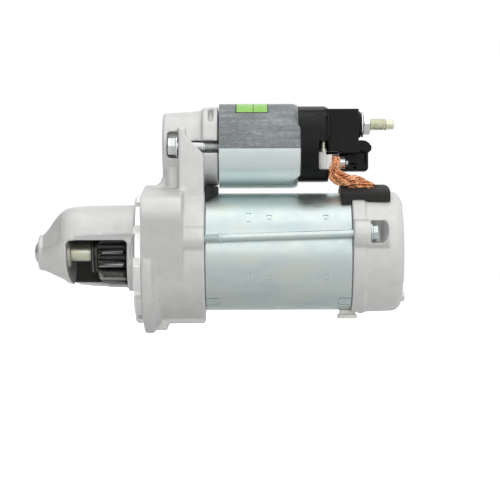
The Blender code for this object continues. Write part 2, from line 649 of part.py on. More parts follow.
def drive_shaft():
    """The output shaft: planet carrier and pins, middle journal, splines and the long nose journal."""
    shaft = turned("drive_shaft", [(-65.2, 0), (-65.2, 5.2), (-64.4, SHAFT_R), (SPLINE_FRONT + OVERLAP, SHAFT_R),
                                   (SPLINE_FRONT + OVERLAP, SPLINE_IN - 0.2), (31.3, SPLINE_IN - 0.2),
                                   (31.3, 8.1), (37.6, 8.1),
                                   (37.6, 24.5), (41.6, 24.5), (41.6, 3.7), (38.2, 3.7), (38.2, 0)], MEDIUM)
    join(shaft, prism("splines", [spline_outline(SPLINE_IN, SPLINE_OUT, 0.5)], SPLINE_FRONT, 31.3 + OVERLAP))
    for index in range(PLANETS):
        angle = planet_angle(index)
        y, z = CARRIER_R * math.cos(angle), CARRIER_R * math.sin(angle)
        join(shaft, rod("pin", (41, y, z), (GEAR_REAR + 0.5, y, z), 3.1))
    return shaft


def clutch():
    """The overrunning clutch's outer race, with a splined hub that slides on the shaft."""
    body = turned("clutch", [(CLUTCH_FRONT, 13), (CLUTCH_FRONT, 21), (CLUTCH_FRONT + 1, CLUTCH_R),
                             (CLUTCH_REAR - 1, CLUTCH_R), (CLUTCH_REAR, 21), (CLUTCH_REAR, 11.5), (30.7, 11.5),
                             (30.7, 9.6), (20.6, 9.6), (20.6, 13)], MEDIUM)
    hub = prism("hub", [circle(10.6, MEDIUM), spline_outline(SPLINE_IN + 0.3, SPLINE_OUT + 0.3, 0.62)], 20.8, 30.6)
    return join(body, hub)


def pinion():
    """The pinion and its sleeve, which is the clutch's inner race."""
    teeth = prism("pinion", [gear_outline(PINION_TEETH, PINION_MODULE, PINION_TIP, PINION_ROOT, 0.6,
                                          steps=3), circle(6.35, MEDIUM)], PINION_FRONT, PINION_REAR)
    sleeve = turned("sleeve", [(PINION_REAR - OVERLAP, 6.36), (PINION_REAR - OVERLAP, 12.6), (20.2, 12.6), (20.2, 9),
                               (-6, 9), (-8, 6.36)], MEDIUM)
    return join(teeth, sleeve)


def stop_collar():
    """The collar and snap ring that keep the pinion on its sleeve."""
    return turned("stop_collar", [(-35.2, 6.4), (-35.2, 12.6), (-34.4, 13.6), (-33, 13.6), (-32.7, 12.3), (-32.2, 12.3),
                                  (-31.9, 13.2), (-30.9, 13.2), (-30.9, 6.4)], MEDIUM)


def shift_collar():
    """The grooved ring on the clutch's hub that the fork pushes; it slides but doesn't turn."""
    low, high = COLLAR_MIDDLE - COLLAR_GROOVE / 2, COLLAR_MIDDLE + COLLAR_GROOVE / 2
    return turned("shift_collar", [(low - 1.5, 11.8), (low - 1.5, 16), (low, 16), (low, 13), (high, 13), (high, 16),
                                   (high + 1.5, 16), (high + 1.5, 11.8)], MEDIUM)


def shift_lever():
    """The moulded shift lever: a fork below, a fork above and trunnions between."""
    lever = rod("shift_lever", (PIVOT_X, -9.6, PIVOT_Z), (PIVOT_X, 9.6, PIVOT_Z), 5)
    join(lever, rod("trunnions", (PIVOT_X, -16.6, PIVOT_Z), (PIVOT_X, 16.6, PIVOT_Z), 2.6))
    join(lever, hull("bridge", [(PIVOT_X + dx, y, z) for dx in (-2.3, 2.3)
                                for y, z in ((-9, 36), (9, 36), (-20.3, 28.5), (20.3, 28.5), (-20.3, 24), (20.3, 24))]))
    cut(lever, block("collar_way", (PIVOT_X - 9, -16.8, 0), (PIVOT_X + 9, 16.8, 28)))
    for side in (-1, 1):
        inner, outer = side * 16.8, side * 20.3
        join(lever, hull("prong", [(x, y, z) for y in (inner, outer) for x, z in
                                   ((COLLAR_MIDDLE - 1.9, -2), (COLLAR_MIDDLE + 1.9, -2),
                                    (PIVOT_X - 2.2, 29), (PIVOT_X + 2.2, 29))]),
             rod("pad", (COLLAR_MIDDLE, side * 13.5, 0), (COLLAR_MIDDLE, side * 17.5, 0), 1.9, 12))
        inner, outer = side * 4.6, side * 8.2
        join(lever, hull("horn", [(x, y, z) for y in (inner, outer) for x, z in
                                  ((LEVER_HEAD_X - 1.7, 72), (LEVER_HEAD_X + 1.7, 72),
                                   (PIVOT_X - 4.1, 53), (PIVOT_X - 0.9, 53))]))
    stem = hull("stem", [(x, y, z) for y in (-8.2, 8.2) for x, z in
                         ((PIVOT_X - 4.4, 56.5), (PIVOT_X - 0.6, 56.5), (PIVOT_X - 2.6, 39), (PIVOT_X + 2.6, 39))])
    return join(lever, stem)


# --- Solenoid -----------------------------------------------------------------------------------

def solenoid_case():
    """The steel can, with a thick front plate and a rear rim that is crimped over the cap."""
    case = turned("solenoid_case", [
        (CAN_FRONT, 12.3), (CAN_FRONT, CAN_R - 0.4), (CAN_FRONT + 0.4, CAN_R), (CAN_REAR - 1, CAN_R),
        (CAN_REAR, CAN_R - 1.4), (CAN_REAR, CAP_R + 0.4), (54.2, CAP_R + 0.4), (54.2, 12.3)], FINE, 0, SOLENOID_Z)
    for side in (-1, 1):
        y = side * SCREW_Y
        cut(case, rod("screw_hole", (CAN_FRONT - 1, y, SCREW_Z), (55, y, SCREW_Z), 3.3))
    return case


def solenoid_coil():
    return turned("solenoid_coil", [(54.6, 12.4), (54.6, 24.8), (56.4, 24.8), (56.4, 23.6), (90.2, 23.6), (90.2, 24.8),
                                    (92, 24.8), (92, 12.4)], MEDIUM, 0, SOLENOID_Z)


def fixed_core():
    """The iron core behind the coil, bored for the contact rod."""
    return turned("fixed_core", [(CORE_FACE, 2.5), (CORE_FACE, 12), (92.5, 12), (92.5, 25), (96.5, 25), (96.5, 2.5)],
                  MEDIUM, 0, SOLENOID_Z)


def plunger():
    """The moving core: a head and neck for the lever, and a recess for the return spring."""
    return turned("plunger", [(16.6, 0), (16.6, 7.4), (17.2, 8), (NECK_FRONT, 8), (NECK_FRONT, 3.9), (NECK_REAR, 3.9),
                              (NECK_REAR, 11), (NECK_REAR + 0.8, PLUNGER_R), (PLUNGER_REAR, PLUNGER_R),
                              (PLUNGER_REAR, 6.5), (RECESS, 6.5), (RECESS, 0)], MEDIUM, 0, SOLENOID_Z)


def plunger_spring():
    return coil("plunger_spring", (RECESS + GAP, 0, SOLENOID_Z), (CORE_FACE - GAP, 0, SOLENOID_Z), 4.6, 0.7, 5)


def contact_disc():
    """The contact disc on its rod."""
    return turned("contact_disc", [(62.6, 0), (62.6, 1.8), (CONTACT_X, 1.8), (CONTACT_X, CONTACT_R),
                                   (CONTACT_X + 2, CONTACT_R), (CONTACT_X + 2, 3), (CONTACT_X + 2.3, 3),
                                   (CONTACT_X + 2.3, 0)], MEDIUM, 0, SOLENOID_Z)


def solenoid_cap():
    """The moulded cap: a hollow drum, the battery terminal's tower and the control connector."""
    cap = disc("solenoid_cap", 97, CAP_REAR, CAP_R, FINE, 0, SOLENOID_Z)
    join(cap, block("tower", (CAP_REAR - 2, -BOX_HALF, BOX_BOTTOM), (BOX_REAR, BOX_HALF, BOX_TOP)),
         disc("boss", BOX_REAR - 1, BOX_REAR + 1.9, 8.7, MEDIUM, 0, BATTERY_Z),
         prism("connector", [[(128, 53), (146, 53), (147.2, 54.5), (147.2, 65), (149.2, 66.5), (149.6, 69.5),
                              (148, 72), (144, 73.2), (138, 73.2), (128, 66)]], -2, 14, "Y"))
    cut(cap, disc("inside", 96, 111.6, 22, FINE, 0, SOLENOID_Z),
        disc("battery_hole", 110, BOX_REAR + 3, BATTERY_R + GAP, COARSE, 0, BATTERY_Z),
        disc("battery_room", 110, 115.6, 6.4, COARSE, 0, BATTERY_Z),
        block("slot", (ROOM_FRONT, -26, 60), (120.2, -9.5, 73)),
        disc("motor_hole", 110, 114, MOTOR_R + GAP, COARSE, MOTOR_Y, MOTOR_Z),
        block("terminal_room", (ROOM_FRONT, -26, 53.1), (127, -2.2, 65.4)),
        block("socket", (135, 0.2, 55.2), (152, 12, 67)))
    return cap


def battery_stud():
    """The battery terminal: a contact head inside the cap and a threaded stud outside."""
    return turned("battery_stud", [(STUD_HEADS, 0), (STUD_HEADS, 5.6), (115, 5.6), (115, BATTERY_R),
                                   (BATTERY_TIP - 5, BATTERY_R), (BATTERY_TIP - 4.4, 3.1), (BATTERY_TIP - 0.6, 3.1),
                                   (BATTERY_TIP, 2.6), (BATTERY_TIP, 0)], COARSE, 0, BATTERY_Z)


def battery_washer():
    return tube("battery_washer", BOX_REAR + 2.2, BOX_REAR + 3.5, 8.3, BATTERY_R + GAP, 24, 0, BATTERY_Z)


def nut(name, front, rear, across, bore, y, z):
    return prism(name, [hexagon(across, y, z), circle(bore, COARSE, y, z)], front, rear)


def motor_stud():
    """The motor terminal: a contact head inside the cap and a threaded stud outside."""
    return turned("motor_stud", [(STUD_HEADS - 0.1, 0), (STUD_HEADS - 0.1, MOTOR_R), (133, MOTOR_R), (133.4, 2.1),
                                 (133.4, 0)], COARSE, MOTOR_Y, MOTOR_Z)


def motor_terminal_block():
    """The plated block between the cap and the motor lead."""
    body = prism("motor_terminal_block", [[(114.2, 53.6), (122.7, 53.6), (122.7, 63.2), (118.8, 63.2), (118.8, 64.9),
                                           (114.2, 64.9)]], -13, -3, "Y")
    return cut(body, disc("hole", 113, 124, MOTOR_R + GAP, COARSE, MOTOR_Y, MOTOR_Z))


LEAD_ROUTE = ((126.0, -9.0, 51.6), (127.4, -10.4, 48.8), (130.8, -12.2, 47.6), (135.0, -13.6, 47.4),
              (139.4, -14.0, 46.6), (143.4, -13.0, 44.6), (146.8, -11.2, 41.6), (149.6, -9.4, 38.4))
LEAD_R = 3.9


def smooth_route(points, per_span=3):
    """Points of a smooth curve through the given ones."""
    route = [Vector(p) for p in points]
    ends = [2 * route[0] - route[1], *route, 2 * route[-1] - route[-2]]
    out = []
    for a, b, c, d in zip(ends, ends[1:], ends[2:], ends[3:]):
        for i in range(per_span):
            t = i / per_span
            out.append(0.5 * (2 * b + (c - a) * t + (2 * a - 5 * b + 4 * c - d) * t * t
                              + (3 * b - 3 * c + d - a) * t ** 3))
    return [*out, route[-1]]


def lead_tube(name, radius, beyond):
    """A round tube along the motor lead, which runs on past the lead's end by beyond."""
    curve = bpy.data.curves.new(name, "CURVE")
    curve.dimensions, curve.use_fill_caps = "3D", True
    curve.bevel_depth, curve.bevel_resolution = radius, 2
    route = smooth_route(LEAD_ROUTE)
    if beyond:
        route.append(route[-1] + (route[-1] - route[-2]).normalized() * beyond)
    spline = curve.splines.new("POLY")
    spline.points.add(len(route) - 1)
    for point, place in zip(spline.points, route):
        point.co = (*place, 1)
    return curve_solid(name, curve)


def motor_lead():
    """The braided copper lead: an eye round the motor terminal and a tail that ends inside the grommet."""
    lead = lead_tube("motor_lead", LEAD_R, 0)
    join(lead, prism("eye", [rounded((MOTOR_Y - 5.4, 49.0), (MOTOR_Y + 5, 63), 3.5)], 123, 126.9))
    return cut(lead, disc("hole", 118, 132, MOTOR_R + GAP, COARSE, MOTOR_Y, MOTOR_Z))


def control_blade():
    """The flat blade of the control terminal, in the connector's socket."""
    return block("control_blade", (135.4, 2.9, 60.7), (142, 9.3, 61.5))


def solenoid_screw(side, name):
    """A flanged hexagon screw that holds the solenoid to the housing."""
    y = side * SCREW_Y
    screw = turned(name, [(18, 0), (18, 3.5), (21, 3.5), (21, 6.7), (22.4, 6.7), (22.4, 3), (38, 3), (38, 2.8),
                          (53, 2.8), (53, 0)], COARSE, y, SCREW_Z)
    return join(screw, prism("head", [hexagon(10, y, SCREW_Z)], 16.4, 21.3))


# --- Materials and assembly ---------------------------------------------------------------------

LOOKS = {  # base colour, roughness, metallic
    "cast_aluminium": ((0.78, 0.78, 0.77), 0.5, 0.6),
    "zinc_plated_steel": ((0.72, 0.80, 0.80), 0.35, 0.8),
    "bright_steel": ((0.75, 0.76, 0.77), 0.25, 1.0),
    "dark_steel": ((0.16, 0.16, 0.15), 0.4, 0.8),
    "yellow_zinc": ((0.75, 0.74, 0.58), 0.35, 0.8),
    "bronze": ((0.72, 0.60, 0.38), 0.4, 0.9),
    "copper": ((0.78, 0.40, 0.22), 0.35, 0.9),
    "magnet": ((0.18, 0.18, 0.19), 0.6, 0.1),
    "black_plastic": ((0.02, 0.02, 0.022), 0.35, 0.0),
    "gear_plastic": ((0.30, 0.29, 0.26), 0.5, 0.0),
    "cream_plastic": ((0.80, 0.79, 0.70), 0.5, 0.0),
    "rubber": ((0.04, 0.04, 0.04), 0.7, 0.0),
    "carbon": ((0.08, 0.08, 0.08), 0.6, 0.1),
}


def material(name, look):
    """A piece's own material."""
    colour, roughness, metallic = LOOKS[look]
    made = bpy.data.materials.new(name)
    made.use_nodes = True
    shader = made.node_tree.nodes["Principled BSDF"]
    shader.inputs["Base Color"].default_value = (*colour, 1)
    shader.inputs["Roughness"].default_value = roughness
    shader.inputs["Metallic"].default_value = metallic
    return made


def finish(look, *made):
    """Merges the flat faces of each piece, brings it to metres, and gives it its material and its smooth shading."""
    for thing in made:
        bm = bmesh.new()
        bm.from_mesh(thing.data)
        bmesh.ops.dissolve_limit(bm, angle_limit=FLAT, verts=bm.verts, edges=bm.edges)
        bm.transform(Matrix.Scale(MM, 4))
        bm.to_mesh(thing.data)
        bm.free()
        thing.data.materials.clear()
        thing.data.materials.append(material(thing.name, look))
        thing.data.shade_smooth()
        thing.data.set_sharp_from_angle(angle=math.radians(35))


def origin_at(name, x, y, z):
    """Puts a moving piece's origin on its joint's axis, and leaves the piece where it is."""
    thing = bpy.data.objects[name]
    place = Vector((x, y, z)) * MM
    thing.data.transform(Matrix.Translation(-place))
    thing.location = place


def main():
    for thing in list(bpy.data.objects):
        bpy.data.objects.remove(thing)
    finish("cast_aluminium", front_housing(), end_cover())
    finish("bronze", nose_bush())
    finish("zinc_plated_steel", yoke(), solenoid_case(), through_bolt(0, "through_bolt_near"),
           through_bolt(1, "through_bolt_far"))
    finish("bright_steel", nose_plug(), rear_bearing(), battery_washer(),
           nut("battery_nut", BOX_REAR + 3.8, BOX_REAR + 8, 13, BATTERY_R + GAP, 0, BATTERY_Z),
           solenoid_screw(-1, "solenoid_screw_near"), solenoid_screw(1, "solenoid_screw_far"),
           end_cover_screw(0), end_cover_screw(1), motor_stud(), motor_terminal_block(),
           nut("motor_nut", 127.2, 131.4, 8, MOTOR_R + GAP, MOTOR_Y, MOTOR_Z), control_blade(),
           plunger_spring(), *(brush_spring(i) for i in range(4)))
    finish("yellow_zinc", battery_stud(), drive_shaft(), plunger())
    finish("dark_steel", armature_shaft(), armature_core(), fixed_core(), centre_plate(), clutch(), pinion(),
           stop_collar(), *(planet_gear(i) for i in range(PLANETS)))
    finish("copper", armature_winding(), commutator(), contact_disc(), motor_lead(), solenoid_coil())
    finish("magnet", *(magnet(i) for i in range(MAGNETS)))
    finish("carbon", *(brush(i) for i in range(4)))
    finish("gear_plastic", ring_gear(), brush_holder(), shift_collar(), shift_lever())
    finish("black_plastic", solenoid_cap())
    finish("rubber", lever_seal(), grommet())
    finish("cream_plastic", drain_vent())
    for name in ("plunger", "contact_disc", "plunger_spring"):
        origin_at(name, 0, 0, SOLENOID_Z)
    origin_at("shift_lever", PIVOT_X, 0, PIVOT_Z)


main()
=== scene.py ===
import math
import random

import bmesh
import bpy
from mathutils import Matrix, Vector


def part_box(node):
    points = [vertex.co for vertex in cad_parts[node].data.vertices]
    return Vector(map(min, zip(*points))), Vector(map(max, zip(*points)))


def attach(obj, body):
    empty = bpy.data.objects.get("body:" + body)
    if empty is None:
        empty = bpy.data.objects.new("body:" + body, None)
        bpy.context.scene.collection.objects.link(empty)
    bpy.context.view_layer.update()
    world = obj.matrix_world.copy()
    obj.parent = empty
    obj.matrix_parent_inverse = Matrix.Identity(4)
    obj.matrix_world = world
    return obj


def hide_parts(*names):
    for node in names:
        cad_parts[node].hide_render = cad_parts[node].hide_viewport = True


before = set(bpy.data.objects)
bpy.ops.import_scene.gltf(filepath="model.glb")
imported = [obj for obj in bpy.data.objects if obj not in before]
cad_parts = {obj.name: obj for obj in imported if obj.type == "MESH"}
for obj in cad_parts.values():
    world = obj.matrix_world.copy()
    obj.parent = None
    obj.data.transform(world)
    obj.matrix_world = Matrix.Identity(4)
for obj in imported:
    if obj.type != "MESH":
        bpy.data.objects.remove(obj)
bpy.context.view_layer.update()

# Shapes are made in millimetres, in the CAD's frame: +X runs from the pinion to the end cover, +Z up to the
# solenoid, and -Y is the near side, which the camera sees. show() brings them to metres.
MM = 0.001
OVERLAP = 0.5  # how far shapes that become one solid run into each other
ROUND, SMALL = 96, 40  # sides of large and small round shapes


def corners(node):
    """A CAD node's lowest and highest corner in millimetres."""
    low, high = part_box(node)
    return low / MM, high / MM


YOKE_LOW, YOKE_HIGH = corners("yoke")
COVER_LOW = corners("end_cover")[0]
CAN_LOW, CAN_HIGH = corners("solenoid_case")
CAP_LOW, CAP_HIGH = corners("solenoid_cap")
STUD_LOW, STUD_HIGH = corners("battery_stud")
NUT_LOW, NUT_HIGH = corners("battery_nut")
VENT_LOW, VENT_HIGH = corners("drain_vent")

YOKE_R = YOKE_HIGH.z
SOLENOID_Z = (CAN_LOW.z + CAN_HIGH.z) / 2
BATTERY_Z = (NUT_LOW.z + NUT_HIGH.z) / 2
MOTOR_Y, MOTOR_Z = -8.0, 58.2  # axis of the motor terminal
REGISTER_Z, REGISTER_R, FLANGE_R = -4.8, 42.2, 48.8
DRUM_R, HOUSING_REAR = 44.0, 39.9
EAR_REAR, EAR_R, EAR_HOLE_R = 26.2, 10.5, 5.4
EARS = ((-54.0, 25.0), (54.0, -34.6))
SLAB_FRONT, SLAB_REAR, SLAB_HALF = 22.8, 39.3, 27.0
BARREL_FRONT, BARREL_REAR = 12.2, 48.5
SCREW_Y, SCREW_Z = 22.0, 68.3
BOLT_REACH, BOLT_HEAD_X = 42.0, 146.0
BOLT_FRONT_ANGLE, BOLT_REAR_ANGLE = math.radians(12.0), math.radians(16.5)
COVER_SCREWS = ((8.0, 29.5), (-8.0, -29.5))
SCREW_HOLE_R, BOLT_HOLE_R, BATTERY_HOLE_R, MOTOR_HOLE_R = 3.3, 2.9, 4.25, 2.8
GAP = 0.2  # left between a rubber or plastic piece and the metal that it fits
PLANETS, PLANET_REACH = 3, 18.0
NOTCHES, NOTCH_TURN = 12, 92.5  # the register's notches, and the first one's angle in degrees
CAN_R, CAP_R = 27.75, 26.1
BOX_FRONT, BOX_REAR, BOX_BOTTOM, BOX_TOP, BOX_HALF = 120.9, 140.3, 64.0, 93.1, 14.0
PINION_TEETH, PINION_MODULE, PINION_TIP, PINION_ROOT = 14, 2.54, 20.8, 15.2
PRESSURE = math.radians(25)  # pressure angle of the pinion's teeth
NOSE_SHADE_FRONT, NOSE_SHADE_R = -47.0, 23.6  # inside these the casting's colour is darkened as painted shade
DARK_REFLECTION_Z = 66.6  # above this height the solenoid can carries a painted dark reflection, and below it pale zinc


# --- Camera, floor and light ----------------------------------------------------------------------

def camera():
    """Look square to the motor's axis, from 1.19 m, with the nose a little low."""
    data = bpy.data.cameras.new("camera")
    data.lens, data.sensor_width = 129.8, 36.0
    made = bpy.data.objects.new("camera", data)
    made.location = (0.069, -1.19, 0.0011)
    made.rotation_euler = (math.pi / 2, math.radians(0.22), 0)
    bpy.context.scene.collection.objects.link(made)
    bpy.context.scene.camera = made


def area_light(name, place, target, size, power):
    data = bpy.data.lights.new(name, "AREA")
    data.shape, data.size, data.energy = "SQUARE", size, power
    made = bpy.data.objects.new(name, data)
    made.location = place
    made.rotation_euler = (Vector(target) - Vector(place)).to_track_quat("-Z", "Y").to_euler()
    bpy.context.scene.collection.objects.link(made)


def studio():
    """A pale floor, a white backdrop, and soft light that is weaker from below and from the left."""
    bpy.ops.mesh.primitive_plane_add(size=8, location=(0, 0, -0.095))
    floor = bpy.context.object
    floor.name = "floor"
    paper = bpy.data.materials.new("floor")
    paper.use_nodes = True
    nodes, links = paper.node_tree.nodes, paper.node_tree.links
    shader = nodes["Principled BSDF"]
    shader.inputs["Base Color"].default_value = (0.70, 0.70, 0.70, 1)
    shader.inputs["Roughness"].default_value = 0.9
    shader.inputs["Emission Color"].default_value = (1, 1, 1, 1)
    links.new(nodes.new("ShaderNodeLightPath").outputs["Is Camera Ray"], shader.inputs["Emission Strength"])
    floor.data.materials.append(paper)

    world = bpy.data.worlds.new("studio")
    bpy.context.scene.world = world
    world.use_nodes = True
    nodes, links = world.node_tree.nodes, world.node_tree.links
    direction = nodes.new("ShaderNodeTexCoord").outputs["Generated"]
    split = nodes.new("ShaderNodeSeparateXYZ")
    links.new(direction, split.inputs[0])
    ramps = []
    for axis, stops in (("Z", ((0, 0.55), (0.36, 0.95), (0.5, 1.0), (0.72, 1.10), (1, 1.0))),
                        ("X", ((0, 0.20), (0.22, 0.50), (0.45, 1.0), (1, 0.92)))):
        place = nodes.new("ShaderNodeMapRange")
        place.inputs["From Min"].default_value = -1
        links.new(split.outputs[axis], place.inputs["Value"])
        ramp = nodes.new("ShaderNodeValToRGB")
        while len(ramp.color_ramp.elements) < len(stops):
            ramp.color_ramp.elements.new(0.5)
        for element, (spot, level) in zip(ramp.color_ramp.elements, stops):
            element.position, element.color = spot, (level, level, level, 1)
        links.new(place.outputs[0], ramp.inputs["Fac"])
        ramps.append(ramp.outputs["Color"])
    both = nodes.new("ShaderNodeMix")
    both.data_type, both.blend_type = "RGBA", "MULTIPLY"
    both.inputs["Factor"].default_value = 1
    links.new(ramps[0], both.inputs["A"])
    links.new(ramps[1], both.inputs["B"])
    seen = nodes.new("ShaderNodeMix")
    seen.data_type = "RGBA"
    links.new(nodes.new("ShaderNodeLightPath").outputs["Is Camera Ray"], seen.inputs["Factor"])
    links.new(both.outputs["Result"], seen.inputs["A"])
    seen.inputs["B"].default_value = (1, 1, 1, 1)
    links.new(seen.outputs["Result"], nodes["Background"].inputs["Color"])

    area_light("top_light", (0.05, -0.15, 1.1), (0.07, 0, 0), 1.0, 1.8)
    area_light("front_light", (0.0, -1.6, 0.3), (0.07, 0, 0.0), 2.0, 4.2)
    bpy.context.scene.view_settings.view_transform = "Standard"


# --- Shapes ---------------------------------------------------------------------------------------

def as_bmesh(mesh):
    """A bmesh with a mesh's corners and faces in it."""
    bm = bmesh.new()
    bm.from_mesh(mesh)
    return bm


def as_object(name, bm):
    """A mesh object from a bmesh."""
    bmesh.ops.remove_doubles(bm, verts=bm.verts, dist=1e-4)
    bmesh.ops.recalc_face_normals(bm, faces=bm.faces)
    mesh = bpy.data.meshes.new(name)
    bm.to_mesh(mesh)
    bm.free()
    thing = bpy.data.objects.new(name, mesh)
    bpy.context.scene.collection.objects.link(thing)
    return thing


def turned(name, profile, steps=ROUND, y=0.0, z=0.0):
    """A closed (x, radius) profile spun about a line along X through (y, z)."""
    bm = bmesh.new()
    verts = [bm.verts.new((x, 0, r)) for x, r in profile]
    edges = [bm.edges.new((a, b)) for a, b in zip(verts, verts[1:] + verts[:1])]
    bmesh.ops.spin(bm, geom=verts + edges, cent=(0, 0, 0), axis=(1, 0, 0),
                   angle=math.tau, steps=steps, use_merge=True)
    bm.transform(Matrix.Translation((0, y, z)))
    return as_object(name, bm)


def disc(name, front, rear, radius, steps=ROUND, y=0.0, z=0.0):
    """A plain cylinder along X."""
    return turned(name, [(front, 0), (front, radius), (rear, radius), (rear, 0)], steps, y, z)


AXES = {  # local x, y, z of an outline become these axes of the object
    "X": Matrix(((0, 0, 1, 0), (1, 0, 0, 0), (0, 1, 0, 0), (0, 0, 0, 1))),
    "Y": Matrix(((1, 0, 0, 0), (0, 0, -1, 0), (0, 1, 0, 0), (0, 0, 0, 1))),
    "Z": Matrix.Identity(4),
}


def curve_solid(name, curve):
    """A mesh object from a curve, which is used up."""
    helper = bpy.data.objects.new(name, curve)
    bpy.context.scene.collection.objects.link(helper)
    graph = bpy.context.evaluated_depsgraph_get()
    mesh = bpy.data.meshes.new_from_object(helper.evaluated_get(graph))
    bpy.data.objects.remove(helper)
    bpy.data.curves.remove(curve)
    bm = as_bmesh(mesh)
    bpy.data.meshes.remove(mesh)
    return as_object(name, bm)


def prism(name, outlines, low, high, along="X", rim=0.0):
    """Flat outlines pushed from low to high along an axis.

    An outline inside another is a hole, and rim rounds the ends. Along X the outlines are (y, z), along Y
    they are (x, z) and along Z they are (x, y).
    """
    if along == "Y":
        low, high = -high, -low
    curve = bpy.data.curves.new(name, "CURVE")
    curve.dimensions, curve.fill_mode = "2D", "BOTH"
    curve.extrude = (high - low) / 2 - rim
    curve.bevel_depth, curve.bevel_resolution, curve.offset = rim, 2, -rim
    for outline in outlines:
        spline = curve.splines.new("POLY")
        spline.points.add(len(outline) - 1)
        for point, (u, v) in zip(spline.points, outline):
            point.co = (u, v, 0, 1)
        spline.use_cyclic_u = True
    solid = curve_solid(name, curve)
    solid.data.transform(AXES[along] @ Matrix.Translation((0, 0, (low + high) / 2)))
    return solid


def block(name, low, high):
    """A box between two corners."""
    bm = bmesh.new()
    size, middle = Vector(high) - Vector(low), (Vector(high) + Vector(low)) / 2
    bmesh.ops.create_cube(bm, size=1, matrix=Matrix.Translation(middle) @ Matrix.Diagonal((*size, 1)))
    return as_object(name, bm)


def hull(name, points):
    """The convex solid around these points."""
    bm = bmesh.new()
    for point in points:
        bm.verts.new(point)
    made = bmesh.ops.convex_hull(bm, input=bm.verts)
    inside = [v for v in made["geom_interior"] if isinstance(v, bmesh.types.BMVert)]
    bmesh.ops.delete(bm, geom=inside, context="VERTS")
    return as_object(name, bm)


def circle(radius, steps=SMALL, y=0.0, z=0.0):
    """A round outline."""
    return [(y + radius * math.cos(math.tau * i / steps), z + radius * math.sin(math.tau * i / steps))
            for i in range(steps)]


def ring_points(x, y, z, radius, steps=SMALL):
    """Points of a circle across X."""
    return [(x, *point) for point in circle(radius, steps, y, z)]


def rod(name, start, end, radius, steps=SMALL, flat=1.0):
    """A cylinder between two points; flat squeezes it along X."""
    start, end = Vector(start), Vector(end)
    turn = (end - start).to_track_quat("Z", "Y").to_matrix().to_4x4()
    bm = bmesh.new()
    bmesh.ops.create_cone(bm, cap_ends=True, segments=steps, radius1=radius, radius2=radius,
                          depth=(end - start).length, matrix=turn)
    bm.transform(Matrix.Translation((start + end) / 2) @ Matrix.Diagonal((flat, 1, 1, 1)))
    return as_object(name, bm)


def settle(thing):
    """Replaces a shape's mesh with what its modifiers make of it."""
    graph = bpy.context.evaluated_depsgraph_get()
    mesh = bpy.data.meshes.new_from_object(thing.evaluated_get(graph))
    thing.modifiers.clear()
    thing.data = mesh
    return thing


def extent(mesh):
    """A mesh's volume and its lowest and highest corner."""
    bm = as_bmesh(mesh)
    volume = abs(bm.calc_volume())
    bm.free()
    axes = list(zip(*(vertex.co for vertex in mesh.vertices))) or [(0,)] * 3
    return volume, [min(axis) for axis in axes], [max(axis) for axis in axes]


def believable(result, base, other, operation):
    """Whether a Boolean's result can be right, by its volume and its corners."""
    volume, low, high = extent(result)
    slack = 0.004 * base[0] + 2
    if operation == "UNION":
        wide = all(low[i] < min(base[1][i], other[1][i]) + 0.05
                   and high[i] > max(base[2][i], other[2][i]) - 0.05 for i in range(3))
        return wide and volume > max(base[0], other[0]) - slack
    if operation == "DIFFERENCE":
        return volume > 1 and base[0] - other[0] - slack < volume < base[0] + slack
    return 0.01 < volume < min(base[0], other[0]) + slack


def boolean(base, other, operation):
    """base with other joined to it, cut from it or shared with it.

    other is used up. If a result can't be right, other is nudged and the Boolean is tried again.
    """
    sizes = extent(base.data), extent(other.data)
    for nudge in (0, 0.004, -0.007, 0.011, -0.015, 0.02):
        other.data.transform(Matrix.Translation((nudge, nudge, nudge)))
        modifier = base.modifiers.new(operation, "BOOLEAN")
        modifier.operation, modifier.object = operation, other
        graph = bpy.context.evaluated_depsgraph_get()
        mesh = bpy.data.meshes.new_from_object(base.evaluated_get(graph))
        base.modifiers.clear()
        if believable(mesh, *sizes, operation):
            break
    base.data = mesh
    bpy.data.objects.remove(other)
    bm = as_bmesh(mesh)
    bmesh.ops.remove_doubles(bm, verts=bm.verts, dist=0.002)
    bmesh.ops.dissolve_degenerate(bm, edges=bm.edges, dist=0.002)
    bm.to_mesh(base.data)
    bm.free()
    return base


def join(base, *others):
    for other in others:
        boolean(base, other, "UNION")
    return base


def cut(base, *others):
    for other in others:
        boolean(base, other, "DIFFERENCE")
    return base


def bevel(thing, width, segments=2, angle=30):
    """Rounds the sharp edges of a shape."""
    modifier = thing.modifiers.new("bevel", "BEVEL")
    modifier.width, modifier.segments, modifier.angle_limit = width, segments, math.radians(angle)
    return settle(thing)


def soften(thing, voxel, passes, share=1.0):
    """Rebuilds a shape as an even mesh and rounds its edges, as casting and moulding leave them."""
    remesh = thing.modifiers.new("remesh", "REMESH")
    remesh.mode, remesh.voxel_size = "VOXEL", voxel
    smooth = thing.modifiers.new("smooth", "SMOOTH")
    smooth.factor, smooth.iterations = 0.5, passes
    if share < 1:
        decimate = thing.modifiers.new("decimate", "DECIMATE")
        decimate.ratio = share
    return settle(thing)


def rounded(low, high, radius, steps=6):
    """A rectangle outline with round corners."""
    (u0, v0), (u1, v1) = low, high
    corner = [(u1 - radius, v1 - radius, 0), (u0 + radius, v1 - radius, 1),
              (u0 + radius, v0 + radius, 2), (u1 - radius, v0 + radius, 3)]
    return [(u + radius * math.cos(math.pi / 2 * (k + i / steps)),
             v + radius * math.sin(math.pi / 2 * (k + i / steps)))
            for u, v, k in corner for i in range(steps + 1)]


def arc(u, v, radius, start, end, steps=8):
    """Points of an arc about (u, v), from start to end in degrees."""
    angles = [math.radians(start + (end - start) * i / steps) for i in range(steps + 1)]
    return [(u + radius * math.cos(a), v + radius * math.sin(a)) for a in angles]


def polar(radius, angle):
    """The (y, z) point at an angle above the near side's horizontal."""
    return -radius * math.cos(angle), radius * math.sin(angle)


# --- Materials ------------------------------------------------------------------------------------

